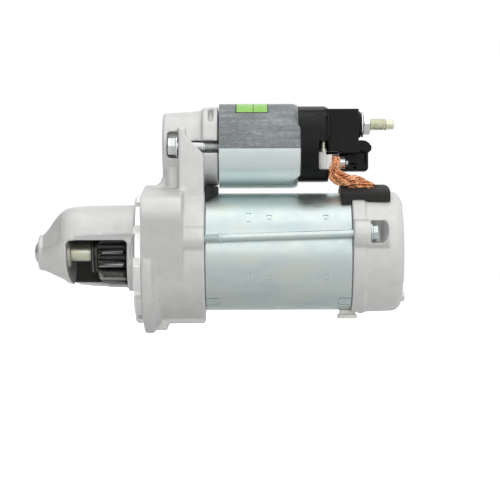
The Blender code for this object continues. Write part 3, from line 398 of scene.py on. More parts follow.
class Look:
    """A material made of nodes; its textures read the piece's own coordinates in millimetres."""

    def __init__(self, name, slot, roughness=0.5, metallic=0.0, **sockets):
        self.slot = slot
        self.material = bpy.data.materials.new(name)
        self.material.use_nodes = True
        self.tree = self.material.node_tree
        self.shader = self.tree.nodes["Principled BSDF"]
        self.shader.inputs["Roughness"].default_value = roughness
        self.shader.inputs["Metallic"].default_value = metallic
        for socket, value in sockets.items():
            self.shader.inputs[socket.replace("_", " ")].default_value = value
        place = self.node("ShaderNodeTexCoord").outputs["Object"]
        self.place = self.node("ShaderNodeVectorMath", operation="SCALE")
        self.place.inputs["Scale"].default_value = 1 / MM
        self.link(place, self.place.inputs[0])
        self.place = self.place.outputs[0]

    def node(self, kind, **values):
        made = self.tree.nodes.new(kind)
        for key, value in values.items():
            setattr(made, key, value)
        return made

    def link(self, start, end):
        self.tree.links.new(start, end)

    def stretched(self, scale):
        """The coordinates divided by scale along x, y and z."""
        made = self.node("ShaderNodeMapping")
        made.inputs["Scale"].default_value = [1 / s for s in scale]
        self.link(self.place, made.inputs["Vector"])
        return made.outputs[0]

    def noise(self, size, detail=3, roughness=0.55):
        """Soft noise with features of that size, one number or three."""
        made = self.node("ShaderNodeTexNoise")
        made.inputs["Scale"].default_value = 1
        made.inputs["Detail"].default_value = detail
        made.inputs["Roughness"].default_value = roughness
        self.link(self.stretched(size if isinstance(size, tuple) else (size,) * 3), made.inputs["Vector"])
        return made.outputs["Fac"]

    def cells(self, size, output="Color"):
        """Cells of that size, each with its own colour, or the distance to a cell's middle."""
        made = self.node("ShaderNodeTexVoronoi")
        made.inputs["Scale"].default_value = 1
        self.link(self.stretched(size if isinstance(size, tuple) else (size,) * 3), made.inputs["Vector"])
        return made.outputs[output]

    def ramp(self, factor, *stops):
        """A factor turned into colours, given as (place, grey level or colour)."""
        made = self.node("ShaderNodeValToRGB")
        while len(made.color_ramp.elements) < len(stops):
            made.color_ramp.elements.new(0.5)
        for element, (place, tone) in zip(made.color_ramp.elements, stops):
            element.position = place
            element.color = (*(tone if isinstance(tone, tuple) else (tone,) * 3), 1)
        self.link(factor, made.inputs["Fac"])
        return made.outputs["Color"]

    def spread(self, size, low, high, detail=3):
        """Soft noise of that size turned into tones from low to high."""
        return self.ramp(self.noise(size, detail), (0.3, low), (0.7, high))

    def mix(self, factor, first, second, blend="MIX"):
        """Two colours mixed; each is an output or a fixed colour."""
        made = self.node("ShaderNodeMix", data_type="RGBA", blend_type=blend)
        for socket, value in (("Factor", factor), ("A", first), ("B", second)):
            if isinstance(value, bpy.types.NodeSocket):
                self.link(value, made.inputs[socket])
            else:
                made.inputs[socket].default_value = value if socket == "Factor" else (*value, 1)
        return made.outputs["Result"]

    def maths(self, operation, *values):
        made = self.node("ShaderNodeMath", operation=operation)
        for socket, value in zip(made.inputs, values):
            if isinstance(value, bpy.types.NodeSocket):
                self.link(value, socket)
            else:
                socket.default_value = value
        return made.outputs[0]

    def axis(self, name):
        """One of the coordinates, in millimetres."""
        split = self.node("ShaderNodeSeparateXYZ")
        self.link(self.place, split.inputs[0])
        return split.outputs[name]

    def edges(self, low, high):
        """0 in hollows and 1 on sharp outer edges, between two levels of pointiness."""
        made = self.node("ShaderNodeMapRange")
        made.inputs["From Min"].default_value = low
        made.inputs["From Max"].default_value = high
        self.link(self.node("ShaderNodeNewGeometry").outputs["Pointiness"], made.inputs["Value"])
        return made.outputs[0]

    def bump(self, *layers):
        """Layers of (height, depth in millimetres) as one surface normal."""
        normal = None
        for height, depth in layers:
            made = self.node("ShaderNodeBump")
            made.inputs["Distance"].default_value = depth * MM
            self.link(height, made.inputs["Height"])
            if normal:
                self.link(normal, made.inputs["Normal"])
            normal = made.outputs["Normal"]
        self.link(normal, self.shader.inputs["Normal"])

    def set(self, socket, output):
        self.link(output, self.shader.inputs[socket])

    def rough(self, size, low, high):
        """Roughness that wanders between two levels over that size."""
        self.set("Roughness", self.spread(size, low, high))


def cast_aluminium():
    """Shot-blasted casting: warm grey with a fine grain, brighter worn edges, slightly dirty hollows, and
    painted shade inside the nose.
    """
    look = Look("cast_aluminium", "cast_aluminium", metallic=0.55)
    tone = look.spread(9, (0.72, 0.72, 0.71), (0.785, 0.785, 0.77))
    fine = look.ramp(look.noise(0.5, 2), (0.35, 0.90), (0.65, 1.0))
    tone = look.mix(1.0, tone, fine, "MULTIPLY")
    worn = look.mix(look.edges(0.52, 0.62), tone, (0.86, 0.86, 0.85))
    hollows = look.mix(look.edges(0.47, 0.38), worn, (0.42, 0.42, 0.41))
    # Painted shade: inside the nose's hollow, behind the window, the casting's colour is made near black.
    across, height = look.axis("Y"), look.maths("SUBTRACT", look.axis("Z"), 2.0)
    reach = look.maths("ADD", look.maths("POWER", across, 2.0), look.maths("POWER", height, 2.0))
    inside = look.maths("LESS_THAN", look.maths("SQRT", reach), NOSE_SHADE_R)
    inside = look.maths("MULTIPLY", inside, look.maths("GREATER_THAN", look.axis("X"), NOSE_SHADE_FRONT))
    inside = look.maths("MULTIPLY", inside, look.maths("LESS_THAN", look.axis("X"), 0.0))
    look.set("Base Color", look.mix(inside, hollows, (0.16, 0.16, 0.155)))
    look.rough(2.5, 0.46, 0.58)
    look.bump((look.noise(0.45, 3), 0.10), (look.noise(5, 2), 0.12))
    return look


def machined_aluminium():
    """Turned aluminium with the fine rings that the tool leaves."""
    look = Look("machined_aluminium", "cast_aluminium", metallic=1.0)
    rings = look.noise((0.12, 90, 90), 2)
    look.set("Base Color", look.ramp(rings, (0.3, (0.88, 0.88, 0.87)), (0.7, (0.97, 0.97, 0.96))))
    look.rough(3, 0.28, 0.38)
    look.bump((rings, 0.02))
    return look


def zinc(name="zinc_plate"):
    """Clear-passivated zinc plate: satin, pale blue-green, with faint drawn lines and cloudy patches."""
    look = Look(name, "zinc_plated_steel", metallic=0.9)
    tint = look.ramp(look.noise((30, 14, 14), 2), (0.32, (0.60, 0.70, 0.70)), (0.5, (0.66, 0.75, 0.74)),
                     (0.68, (0.70, 0.76, 0.71)))
    lines = look.spread((0.25, 12, 12), 0.93, 1.0, 3)
    tint = look.mix(1.0, tint, lines, "MULTIPLY")
    look.set("Base Color", look.mix(look.edges(0.53, 0.62), tint, (0.88, 0.92, 0.91)))
    look.rough(6, 0.30, 0.42)
    look.bump((look.noise((0.3, 8, 8), 3), 0.012), (look.noise(1.2, 2), 0.01))
    return look


def can_zinc():
    """The solenoid can: pale zinc below, and above a set height a painted dark reflection with a fine
    spangle-like grain.
    """
    look = zinc("can_zinc")
    pale = look.shader.inputs["Base Color"].links[0].from_socket
    grains = look.mix(0.5, look.cells((1.1, 0.5, 0.5)), look.cells((2.6, 1.1, 1.1)))
    grey = look.node("ShaderNodeRGBToBW")
    look.link(grains, grey.inputs[0])
    painted_reflection = look.ramp(grey.outputs[0], (0.2, (0.175, 0.19, 0.195)), (0.5, (0.21, 0.225, 0.23)),
                        (0.8, (0.26, 0.285, 0.29)))
    clouds = look.ramp(look.noise((26, 5, 5), 2), (0.35, 0.80), (0.65, 1.15))
    painted_reflection = look.mix(1.0, painted_reflection, clouds, "MULTIPLY")
    # Painted reflection: above this height the can's colour is a dark grained tone that stands for a dark
    # reflection, not the plating's own colour.
    upper = look.maths("GREATER_THAN", look.axis("Z"), DARK_REFLECTION_Z)
    lower = look.mix(0.55, pale, (0.92, 0.99, 1.0))
    look.set("Base Color", look.mix(upper, lower, painted_reflection))
    return look


def bright_steel():
    """Bright zinc-plated fasteners."""
    look = Look("bright_steel", "bright_steel", metallic=1.0)
    colour = (0.68, 0.70, 0.71)
    tone = look.spread(1.6, tuple(0.82 * c for c in colour), colour)
    look.set("Base Color", look.mix(look.edges(0.53, 0.64), tone, (0.95, 0.95, 0.95)))
    look.rough(0.8, 0.2, 0.34)
    look.bump((look.noise((0.15, 2, 2), 2), 0.012))
    return look


def yellow_zinc():
    """Yellow-green passivated zinc, with patches of straw and pale green."""
    look = Look("yellow_zinc", "yellow_zinc", metallic=0.9)
    look.set("Base Color", look.ramp(look.noise(4, 2), (0.3, (0.76, 0.75, 0.56)), (0.5, (0.80, 0.81, 0.65)),
                                     (0.7, (0.84, 0.87, 0.75))))
    look.rough(1.5, 0.34, 0.44)
    look.bump((look.noise((0.12, 3, 3), 2), 0.004))
    return look


def dark_steel():
    """Hardened, oiled steel: near black, with bare metal on its edges."""
    look = Look("dark_steel", "dark_steel", metallic=0.85)
    tone = look.spread(1.8, (0.035, 0.035, 0.034), (0.10, 0.10, 0.095), 4)
    look.set("Base Color", look.mix(look.edges(0.54, 0.66), tone, (0.42, 0.42, 0.40)))
    look.rough(0.9, 0.26, 0.46)
    look.bump((look.noise((0.2, 1.5, 1.5), 3), 0.02))
    return look


def bronze():
    """Sintered bronze with fine pores."""
    look = Look("sintered_bronze", "bronze", metallic=0.9)
    look.set("Base Color", look.spread(0.5, (0.80, 0.77, 0.70), (0.90, 0.88, 0.83), 4))
    look.rough(1.2, 0.32, 0.5)
    look.bump((look.cells(0.35, "Distance"), 0.02))
    return look


def copper():
    """Bare copper, from bright orange to a browner film."""
    look = Look("bare_copper", "copper", metallic=1.0)
    tone = look.ramp(look.noise(1.4, 3), (0.32, (0.55, 0.22, 0.10)), (0.5, (0.92, 0.46, 0.24)),
                     (0.68, (1.0, 0.68, 0.42)))
    look.set("Base Color", tone)
    look.rough(0.8, 0.24, 0.42)
    look.bump((look.noise(0.25, 2), 0.02))
    return look


def moulded(name, slot, low, high, roughness, grain, depth, **sockets):
    """Moulded plastic or rubber: a fine grain and paler rubbed edges."""
    look = Look(name, slot, **sockets)
    tone = look.spread(4, low, high)
    rubbed = tuple(min(1.0, 1.6 * c + 0.02) for c in high)
    look.set("Base Color", look.mix(look.edges(0.53, 0.63), tone, rubbed))
    look.rough(1.5, roughness - 0.06, roughness + 0.08)
    look.bump((look.noise(grain, 3), depth))
    return look


def laminations():
    """Stacked steel sheets, seen as fine lines across the motor's axis."""
    look = Look("laminations", "dark_steel", metallic=0.8)
    sheet = look.maths("FRACT", look.maths("MULTIPLY", look.axis("X"), 2.0))
    look.set("Base Color", look.ramp(sheet, (0.0, (0.10, 0.10, 0.10)), (0.25, (0.30, 0.30, 0.31)),
                                     (0.9, (0.34, 0.34, 0.35))))
    look.rough(2, 0.38, 0.5)
    look.bump((sheet, 0.05))
    return look


def wound_wire():
    """Lacquered copper wire laid side by side."""
    look = Look("wound_wire", "copper", metallic=0.9)
    turn = look.maths("FRACT", look.maths("MULTIPLY", look.axis("X"), 1.1))
    look.set("Base Color", look.ramp(turn, (0.0, (0.16, 0.05, 0.02)), (0.5, (0.74, 0.32, 0.14)),
                                     (1.0, (0.16, 0.05, 0.02))))
    look.rough(1.5, 0.28, 0.4)
    look.bump((look.maths("PINGPONG", turn, 0.5), 0.3))
    return look


def label_paint():
    """The label's slightly uneven green paint; it carries no lettering."""
    look = Look("label", "zinc_plated_steel", roughness=0.35, Coat_Weight=0.3)
    look.set("Base Color", look.spread(3, (0.24, 0.58, 0.06), (0.30, 0.66, 0.09)))
    return look


# --- Showing pieces -------------------------------------------------------------------------------

def show(thing, look, *nodes, body="housing", angle=38):
    """Brings a shape to metres, gives it its material, and lets it ride on its body in its nodes' place."""
    thing.data.transform(Matrix.Scale(MM, 4))
    thing.data.materials.clear()
    thing.data.materials.append(look.material)
    thing.data.shade_smooth()
    thing.data.set_sharp_from_angle(angle=math.radians(angle))
    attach(thing, body)
    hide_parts(*nodes)
    return thing


def paint(look, *nodes):
    """A better material for CAD nodes that are shown as they are."""
    for node in nodes:
        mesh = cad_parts[node].data
        mesh.materials.clear()
        mesh.materials.append(look.material)


# --- Housing --------------------------------------------------------------------------------------

NOSE_RINGS = (  # x, radius of the lower circle, height and radius of the upper one
    (-70, 10.9, -0.2, 10.9), (-69.3, 11.5, -0.2, 11.5), (-66.8, 11.8, 0, 11.8), (-62.8, 12.4, 1.6, 14.9),
    (-59.8, 13.9, 3.0, 18.0), (-56.9, 15.6, 4.2, 20.4), (-53.9, 17.6, 5.0, 22.4), (-51.0, 19.8, 5.2, 23.7),
    (-47.5, 21.4, 5.2, 24.5), (-44.0, 23.4, 5.1, 25.0), (-36.0, 24.2, 5.0, 25.5), (-10.0, 25.7, 5.0, 25.9),
    (1.0, 26.2, 5.0, 26.1))


def oval(ring, steps=96):
    """Points of an upright oval: the outer edge of a lower circle on the axis and an upper one."""
    x, lower, height, upper = ring
    points = []
    for i in range(steps):
        y, z = polar(1, math.tau * (i + 0.5) / steps)
        high = height * z + upper > lower
        points.append((x, upper * y, height + upper * z) if high else (x, lower * y, lower * z))
    return points


def loft(name, rings):
    """A solid whose skin runs through rings of equally many points."""
    bm = bmesh.new()
    rows = [[bm.verts.new(point) for point in ring] for ring in rings]
    for first, second in zip(rows, rows[1:]):
        for i, corner in enumerate(first):
            bm.faces.new((first[i - 1], corner, second[i], second[i - 1]))
    bm.faces.new(rows[0])
    bm.faces.new(rows[-1])
    bmesh.ops.recalc_face_normals(bm, faces=bm.faces)
    return as_object(name, bm)


def nose_shape():
    """The outside of the nose: an upright oval tube whose shoulders curve down to a round tip."""
    body = loft("nose", [oval(ring) for ring in NOSE_RINGS])
    scoop = hull("scoop", [(x, y, z) for x in (-68.2, -54.4) for y in (2, -40)
                           for z in (9.3 + (0.67 * (x + 67.5) + 0.60 * (y + 5.7)) / 0.44, 60)])
    under_roof = rod("under_roof", (-45, -27.3, 7.4), (-7, -27.6, 8.6), 4.2)
    return cut(body, scoop, under_roof, block("cheek", (-57, -40, -30), (-8, -24.3, 5.2)))


def nose_room():
    """The hollow of the nose, which the pinion and the front of the clutch move in."""
    rings = ((-50.5, 1, 15), (-46.5, 0, 21.3), (-46.5, 3.5, 21.3), (5, 0, 22.7), (5, 4.5, 22.7))
    room = hull("room", [point for x, z, radius in rings for point in ring_points(x, 0, z, radius)])
    return join(room, disc("bore", -71, -50, 8.8), disc("clutch_way", -9, 5, 22.7))


def nose_window():
    """The opening through which the pinion meets the engine's ring gear."""
    left, right, top = -50.4, -11.0, 7.6
    outline = arc(left + 3, top - 3, 3, 180, 90) + arc(right - 2.4, top - 2.4, 2.4, 90, 0)
    outline += [(right, -60), (left + 3.8, -60), (left + 3.8, -20.6), (left + 2.4, -18.8),
                (left + 1.1, -15.5),
                (left + 0.4, -10)]
    return prism("window", [outline], -60, 8.5, "Y")


def mounting_ear(y, z):
    """A mounting ear: a long boss whose sides run into the drum as tangents."""
    drum = DRUM_R - 0.4
    towards, spread = math.atan2(z, y), math.acos((drum - EAR_R) / math.hypot(y, z))
    sides = [(drum * math.cos(towards + a), drum * math.sin(towards + a)) for a in (-spread, spread)]
    return hull("ear", [p for x in (0, EAR_REAR) for p in
                        [*ring_points(x, y, z, EAR_R), *((x, *side) for side in sides), (x, 0, 0)]])


def bolt_boss(front, rear, angle, radius=8.2):
    """A pad on the side of a casting that a through bolt runs into."""
    y, z = polar(BOLT_REACH - 1.5, angle)
    return hull("boss", [p for x in (front, rear) for p in
                         ring_points(x, y, z, radius) + ring_points(x, y * 0.7, z * 0.7, radius)])


def bolt_point(side, x):
    """The point of a through bolt's axis at x; side is 0 for near and 1 for far."""
    front = Vector((HOUSING_REAR, *polar(BOLT_REACH, BOLT_FRONT_ANGLE + side * math.pi)))
    rear = Vector((BOLT_HEAD_X, *polar(BOLT_REACH, BOLT_REAR_ANGLE + side * math.pi)))
    return front + (rear - front) * ((x - front.x) / (rear.x - front.x))


def solenoid_mount():
    """The barrel and column that carry the solenoid, with the ways of its two screws."""
    barrel = turned("barrel", [(BARREL_FRONT, 0), (BARREL_FRONT, 21.0), (BARREL_FRONT + 0.8, 21.7),
                               (33, 22.9),
                               (37, 23.5), (40, 24.6), (42.4, 25.6), (BARREL_REAR, 25.8), (BARREL_REAR, 0)],
                    ROUND, 0, SOLENOID_Z)
    join(barrel, disc("collar", SLAB_REAR - 1, BARREL_REAR - 0.1, 25.7, ROUND, 0, SOLENOID_Z - 0.4))
    for side in (-1, 1):
        inner, outer = sorted((side * 17.6, side * 30))
        cut(barrel, block("screw_way", (SLAB_FRONT + 1, inner, SCREW_Z - 4.2),
                          (BARREL_REAR + 1, outer, SCREW_Z + 3.7)))
        angle = math.radians(56)
        y, z = side * math.cos(angle), math.sin(angle)
        cut(barrel, rod("recess", (43.6, 21.0 * y, SOLENOID_Z + 21.0 * z),
                        (43.6, 32 * y, SOLENOID_Z + 32 * z),
                        10.5, SMALL, 0.14))
    column = prism("column", [rounded((BARREL_FRONT + 0.1, -17), (36, 17), 6)], 25, SOLENOID_Z, "Z")
    slab = prism("slab", [[(SLAB_FRONT, 10), (SLAB_REAR, 10), (SLAB_REAR, 62.4), (38.4, 64.2), (28.2, 74.6),
                           (27.4, 76.4), (27.4, 80.5), (SLAB_FRONT, 80.5)]], -SLAB_HALF, SLAB_HALF, "Y")
    foot = prism("foot", [arc(BARREL_FRONT - 7, 50, 7, -90, 0) + [(14.2, 50), (14.2, 40), (5.2, 40)]],
                 -15, 15, "Y")
    return join(barrel, column, slab, foot)


def lever_room():
    """The hollow that the shift lever and the plunger move in."""
    lower = block("lower", (9, -21.5, 2), (33.05, 21.5, 35.8))
    upper = block("upper", (14.8, -11.2, 33), (37, 11.2, 62))
    bore = disc("bore", 15, BARREL_REAR + 1, 14.0, SMALL, 0, SOLENOID_Z)
    pins = rod("pins", (28, -17, 38.3), (28, 17, 38.3), 2.9)
    return join(lower, upper, bore, pins, block("rear", (36, -9, 39), (42, 9, 43)))


def front_casting():
    """The cast front housing without its machined register: flange, ears, drum, nose and solenoid mount."""
    rear = HOUSING_REAR
    body = disc("front_casting", 3, rear, DRUM_R)
    join(body,
         turned("flange", [(0, 0), (0, FLANGE_R - 0.4), (0.5, FLANGE_R), (5.4, FLANGE_R), (6.4, FLANGE_R - 1),
                           (8, FLANGE_R - 4.2), (11, FLANGE_R - 6), (11, 0)], ROUND, 0, REGISTER_Z),
         *(mounting_ear(y, z) for y, z in EARS),
         block("rib", (4, -9, -47), (rear - 0.2, 9, -38)),
         hull("rib_step", [(x, y, z) for y in (-9.5, 9.5)
                           for x, z in ((4, -44), (16, -44), (14.4, -51.2), (4, -51.2))]),
         *(bolt_boss(EAR_REAR + 1, rear - 0.1, BOLT_FRONT_ANGLE + turn) for turn in (0, math.pi)),
         solenoid_mount(), nose_shape())
    cut(body, disc("clutch_room", 4, 33.6, 30), disc("gear_seat", 33.1, rear + 1, 36.3),
        nose_room(), nose_window(), lever_room())
    for side, (y, z) in enumerate(EARS):
        cut(body, rod("ear_hole", (-1, y, z), (EAR_REAR + 1, y, z), EAR_HOLE_R),
            rod("bolt_hole", bolt_point(side, EAR_REAR + 4), bolt_point(side, rear + 2), BOLT_HOLE_R))
    for side in (-1, 1):
        inner, outer = sorted((side * 14.8, side * 31))
        cut(body, rod("screw_hole", (SLAB_FRONT - 1, side * SCREW_Y, SCREW_Z),
                      (BARREL_REAR, side * SCREW_Y, SCREW_Z), SCREW_HOLE_R),
            prism("head_room", [rounded((inner, SCREW_Z - 7.2), (outer, SCREW_Z + 9.7), 2.4)], 15.7,
                  SLAB_FRONT))
    return soften(body, 0.8, 6, 0.55)


def register_ring():
    """The machined ring that centres the starter in the bell housing, with the notches in its rim."""
    front = -5.9
    ring = turned("register_ring", [(front, 30), (front, REGISTER_R - 1.4), (front + 1.3, REGISTER_R),
                                    (-0.9, REGISTER_R), (-0.5, REGISTER_R - 0.5), (0.6, REGISTER_R - 0.5),
                                    (0.6, 30)],
                  160, 0, REGISTER_Z)
    for index in range(NOTCHES):
        notch = block("notch", (front - 1, -2.8, REGISTER_R - 5.5), (-1.4, 2.8, REGISTER_R + 3))
        notch.data.transform(Matrix.Translation((0, 0, REGISTER_Z))
                             @ Matrix.Rotation(math.radians(NOTCH_TURN - 360 / NOTCHES * index), 4, "X"))
        cut(ring, notch)
    return ring


def register_web():
    """The cast web that joins the register ring to the nose."""
    web = disc("register_web", -5.4, 0.6, 31, ROUND, 0, REGISTER_Z)
    return cut(web, hull("way", [point for x in (-7, 2) for z in (0, 5)
                                 for point in ring_points(x, 0, z, 24.4, ROUND)]))


def nose_bush():
    """The bush that carries the shaft's end in the nose."""
    return turned("bush", [(-66, 6.3), (-66, 8.5), (-51.8, 8.5), (-51.8, 9.5), (-49.2, 9.5), (-48.6, 9.0),
                           (-48.4, 8.4),
                           (-48.4, 6.9), (-49, 6.3)])


def nose_plug():
    """The domed plug that closes the end of the nose."""
    dome = [(-70.6 - 2.2 * math.sin(t), 6.6 * math.cos(t)) for t in [math.pi / 2 * i / 10 for i in range(11)]]
    return turned("plug", [(-67, 0), (-67, 8.5), (-69.6, 8.5), (-70.1, 8.0), (-70.1, 7.0), *dome])


def lever_seal():
    """The rubber block that fills the gap between drum, yoke and solenoid mount."""
    front = HOUSING_REAR
    half = [(front + 0.2, 21.5), (42.5, 20.2), (45.6, 16.5), (47.8, 11), (48.4, 5)]
    plan = [*half, *((x, -y) for x, y in reversed(half))]
    seal = prism("seal", [plan], 30, 43.0, "Z")
    join(seal, block("tongue", (37.4, -8.6, 39.3), (41, 8.6, 42.4)))
    cut(seal, disc("yoke_way", 39.6, 60, YOKE_R + GAP),
        disc("can_way", 48.6, 60, 28.2, ROUND, 0, SOLENOID_Z))
    return soften(seal, 0.45, 4)


# --- Motor ----------------------------------------------------------------------------------------

def around(thing, angle):
    """Turns a shape on the near side's horizontal up about the motor axis."""
    thing.data.transform(Matrix.Rotation(-angle, 4, "X"))
    return thing


def grommet_way():
    """The opening in yoke and end cover that the grommet fills."""
    return block("grommet_way", (127.9, -14.3, 28), (159.8, 14.3, 60))


def frame_cutter(name, x, width, height, line, depth, radius=0.4):
    """A cutter that scribes a rectangle's outline in the yoke's near side."""
    outer = rounded((x - width / 2, -height / 2), (x + width / 2, height / 2), radius)
    inner = rounded((x - width / 2 + line, -height / 2 + line), (x + width / 2 - line, height / 2 - line),
                    radius / 2)
    return prism(name, [outer, inner], -YOKE_R - 2, -YOKE_R + depth, "Y")


def yoke_tube():
    """The zinc-plated yoke with its stakes, the tabs that locate it and the way for the grommet."""
    front, rear = YOKE_LOW.x, YOKE_HIGH.x
    stations = [front + 0.5 + (rear - front - 1) * i / 30 for i in range(31)]
    tube = turned("yoke_tube", [(front, YOKE_R - 3), (front, YOKE_R - 0.4), *((x, YOKE_R) for x in stations),
                                (rear, YOKE_R - 0.4), (rear, YOKE_R - 3)], 120)
    for index in range(6):
        turn = math.radians(35 - 60 * index)
        for x, height in ((68.0, 7.2), (81.5, 3.6), (117.8, 3.6)):
            cut(tube, around(frame_cutter("stake", x, 3.4, height, 0.75, 0.7), turn))
    for turn in (math.radians(-58), math.radians(122)):
        for middle, width in ((front + 2.5, 14), (rear - 2.5, 13)):
            cut(tube, around(frame_cutter("tab", middle, width, 9, 0.8, 0.9, 2.5), turn))
    return cut(tube, grommet_way())


def end_casting():
    """The cast end cover with its bolt pads and pockets."""
    front, rear, radius, bore = COVER_LOW.x, 168.2, 40.0, 34.7
    corner = arc(rear - 7, radius - 7.6, 7, 90, 0)
    body = turned("end_casting", [
        (front, 37.2), (front, radius + 0.6), (front + 0.4, radius + 1), (front + 8, radius + 1),
        (front + 8.8, radius), *corner, (rear, 24), (rear - 0.7, 23.4), (rear - 0.7, 13), (rear, 12.4),
                                  (rear, 0),
        (164.6, 0), (164.6, 11.3), (156.4, 11.3), (156.4, 14), (164.6, 15),
        (164.6, 33), (163, bore + 0.5), (144.6, bore + 0.5), (144.6, 37.2)])
    for turn in (0, math.pi):
        join(body, bolt_boss(front + 0.1, 158, BOLT_REAR_ANGLE + turn, 9.0))
    cut(body, disc("mouth", front - 1, 144.6, 36.9), disc("inside", 143, 160, bore))
    for side in (0, 1):
        y, z = polar(BOLT_REACH + 1, BOLT_REAR_ANGLE + side * math.pi)
        rings = ((BOLT_HEAD_X, 1, 7.4), (153, 1, 7.4), (BOLT_HEAD_X, 1.4, 9), (158, 1.4, 9))
        pocket = hull("pocket", [point for x, out, r in rings
                                 for point in ring_points(x, y * out, z * out, r)])
        cut(body, pocket, rod("bolt_hole", bolt_point(side, front - 2), bolt_point(side, BOLT_HEAD_X + 1),
                              BOLT_HOLE_R))
    for y, z in COVER_SCREWS:
        cut(body, rod("screw_hole", (rear - 6, y, z), (rear + 1, y, z), 2.3),
            rod("screw_seat", (rear - 0.6, y, z), (rear + 1, y, z), 4.6))
    cut(body, grommet_way(), block("vent_way", (front - 1, -8.3, -45), (139.6, 8.3, -30)))
    return soften(body, 0.62, 5, 0.9)


def recessed_screw(name, y, z):
    """A small pan-head screw with a cross recess."""
    head = turned(name, [(163.2, 0), (163.2, 2), (167.8, 2), (167.8, 3.6), (168.9, 3.6), (169.6, 3.2),
                         (170.1, 2.4),
                         (170.3, 1.2), (170.3, 0)], SMALL, y, z)
    return cut(head, block("bar", (169.2, y - 2, z - 0.35), (171, y + 2, z + 0.35)),
               block("bar", (169.2, y - 0.35, z - 2), (171, y + 0.35, z + 2)))


def drain_vent():
    """The soft plastic vent under the joint of yoke and end cover."""
    body = prism("vent", [rounded((VENT_LOW.x, -8), (VENT_HIGH.x, 8), 2.4)], VENT_LOW.z, VENT_LOW.z + 2.8,
                 "Z")
    join(body, block("neck", (128, -6.5, -42), (138.2, 6.5, -35)))
    cut(body, disc("motor", 120, 139.3, YOKE_R + GAP), rod("duct", (133, 0, -46), (133, 0, -37.5), 2.2))
    return soften(body, 0.35, 4)


def grommet():
    """The rubber plug round the motor lead, with a saddle over the joint of yoke and end cover."""
    half = [(-24.6, 30.5), (-24.8, 37.0), (-23.6, 38.6), (-20, 40.2), (-13, 42.3), (-6, 43.6)]
    saddle = prism("plug_body", [[*half, (0, 44.0), *((-y, z) for y, z in reversed(half))]], 128.2, 160)
    keep = prism("keep", [[(128.2, 25), (160, 25), *arc(155.6, 40.0, 4.4, 0, 90), (128.2, 44.4)]], -30, 30,
                 "Y")
    boolean(saddle, keep, "INTERSECT")
    joint, lip, wall = COVER_LOW.x - 0.3, 41.25, 40.25
    cut(saddle, turned("seat", [(127, 0), (127, YOKE_R + GAP), (joint, YOKE_R + GAP), (joint, lip),
                                (144.0, lip),
                                (144.8, wall), (163, wall), (163, 0)]))
    join(saddle, block("plug", (128.2, -14, 31.8), (159.4, 14, 39.6)))
    cut(saddle, lead_tube("lead_hole", 4.9, 1.5))
    return soften(saddle, 0.5, 4)


# --- Screws, nuts and studs -----------------------------------------------------------------------

def threaded(name, profile, front, rear, radius, pitch, depth, steps=SMALL):
    """A turned profile whose stretch from front to rear carries a screw thread; the axis is the X axis."""
    rings = max(2, round((rear - front) / pitch * 6))
    stations = [(front + (rear - front) * i / rings, radius) for i in range(rings + 1)]
    before = [p for p in profile if p[0] < front]
    after = [p for p in profile if p[0] > rear]
    thing = turned(name, before + stations + after, steps)
    for vertex in thing.data.vertices:
        x, y, z = vertex.co
        if front < x < rear and math.hypot(y, z) > radius - 0.01:
            phase = (x / pitch - math.atan2(z, y) / math.tau) % 1.0
            ends = min(1.0, (x - front) / pitch, (rear - x) / pitch)
            share = 1 - depth * ends * abs(2 * phase - 1) / radius
            vertex.co = (x, y * share, z * share)
    return thing


def moved(thing, y, z):
    """Moves a shape from the X axis to a line through (y, z)."""
    thing.data.transform(Matrix.Translation((0, y, z)))
    return thing


def hex_solid(name, front, rear, across, y, z, chamfers=(True, True), bore=0.0):
    """A hexagon nut or head with its corners turned off."""
    reach = across / math.sqrt(3)
    body = prism(name, [circle(reach, 6, y, z)], front, rear)
    slant = 0.55 * (reach - across / 2)
    low = across / 2 - 0.15
    ends = [(front, low if chamfers[0] else reach + 1), (front + slant + 0.25, reach + 1)]
    ends += [(rear - slant - 0.25, reach + 1), (rear, low if chamfers[1] else reach + 1)]
    lathe = turned("lathe", [(front, 0), *ends, (rear, 0)], SMALL, y, z)
    boolean(body, lathe, "INTERSECT")
    if bore:
        cut(body, disc("bore", front - 1, rear + 1, bore, SMALL, y, z))
    return body


def battery_stud():
    """The M8 battery terminal with its plain end."""
    tip = STUD_HIGH.x
    return moved(threaded("battery_terminal", [
        (STUD_LOW.x, 0), (STUD_LOW.x, 5.6), (115, 5.6), (115, 4.0), (139, 4.0),
        (tip - 4.9, 3.25), (tip - 0.7, 3.2), (tip, 2.6), (tip, 0)], 140, tip - 5.4, 4.0, 1.25, 0.75), 0,
                 BATTERY_Z)


def battery_washer():
    """The plain washer under the battery terminal's nut."""
    low, high = corners("battery_washer")
    return turned("washer", [(low.x, 4.3), (low.x, 8.0), (low.x + 0.3, 8.4), (high.x - 0.3, 8.4),
                             (high.x, 8.0),
                             (high.x, 4.3)], ROUND, 0, BATTERY_Z)


def through_bolt(side, name):
    """A long bolt: threaded front, plain slim shank, and a flanged hexagon head in the end cover's pocket."""
    start, seat = bolt_point(side, EAR_REAR + 4.4), bolt_point(side, BOLT_HEAD_X)
    length = (seat - start).length
    thread_end = 49.4 - start.x
    shank = threaded(name, [(0, 0), (0, 1.9), (thread_end + 0.3, 3.0), (thread_end + 1.2, 3.0),
                            (thread_end + 1.6, 2.35),
                            (length + 0.2, 2.35), (length + 0.2, 5.9), (length + 0.9, 5.9),
                            (length + 1.7, 4.6),
                            (length + 2, 0)], 0.6, thread_end, 2.6, 1.0, 0.5)
    head = hex_solid("head", length + 1, length + 4.6, 8.2, 0, 0, (False, True))
    cut(head, disc("dimple", length + 3.9, length + 6, 2.6, SMALL))
    join(shank, head)
    turn = (seat - start).to_track_quat("X", "Z").to_matrix().to_4x4()
    shank.data.transform(Matrix.Translation(start) @ turn)
    return shank


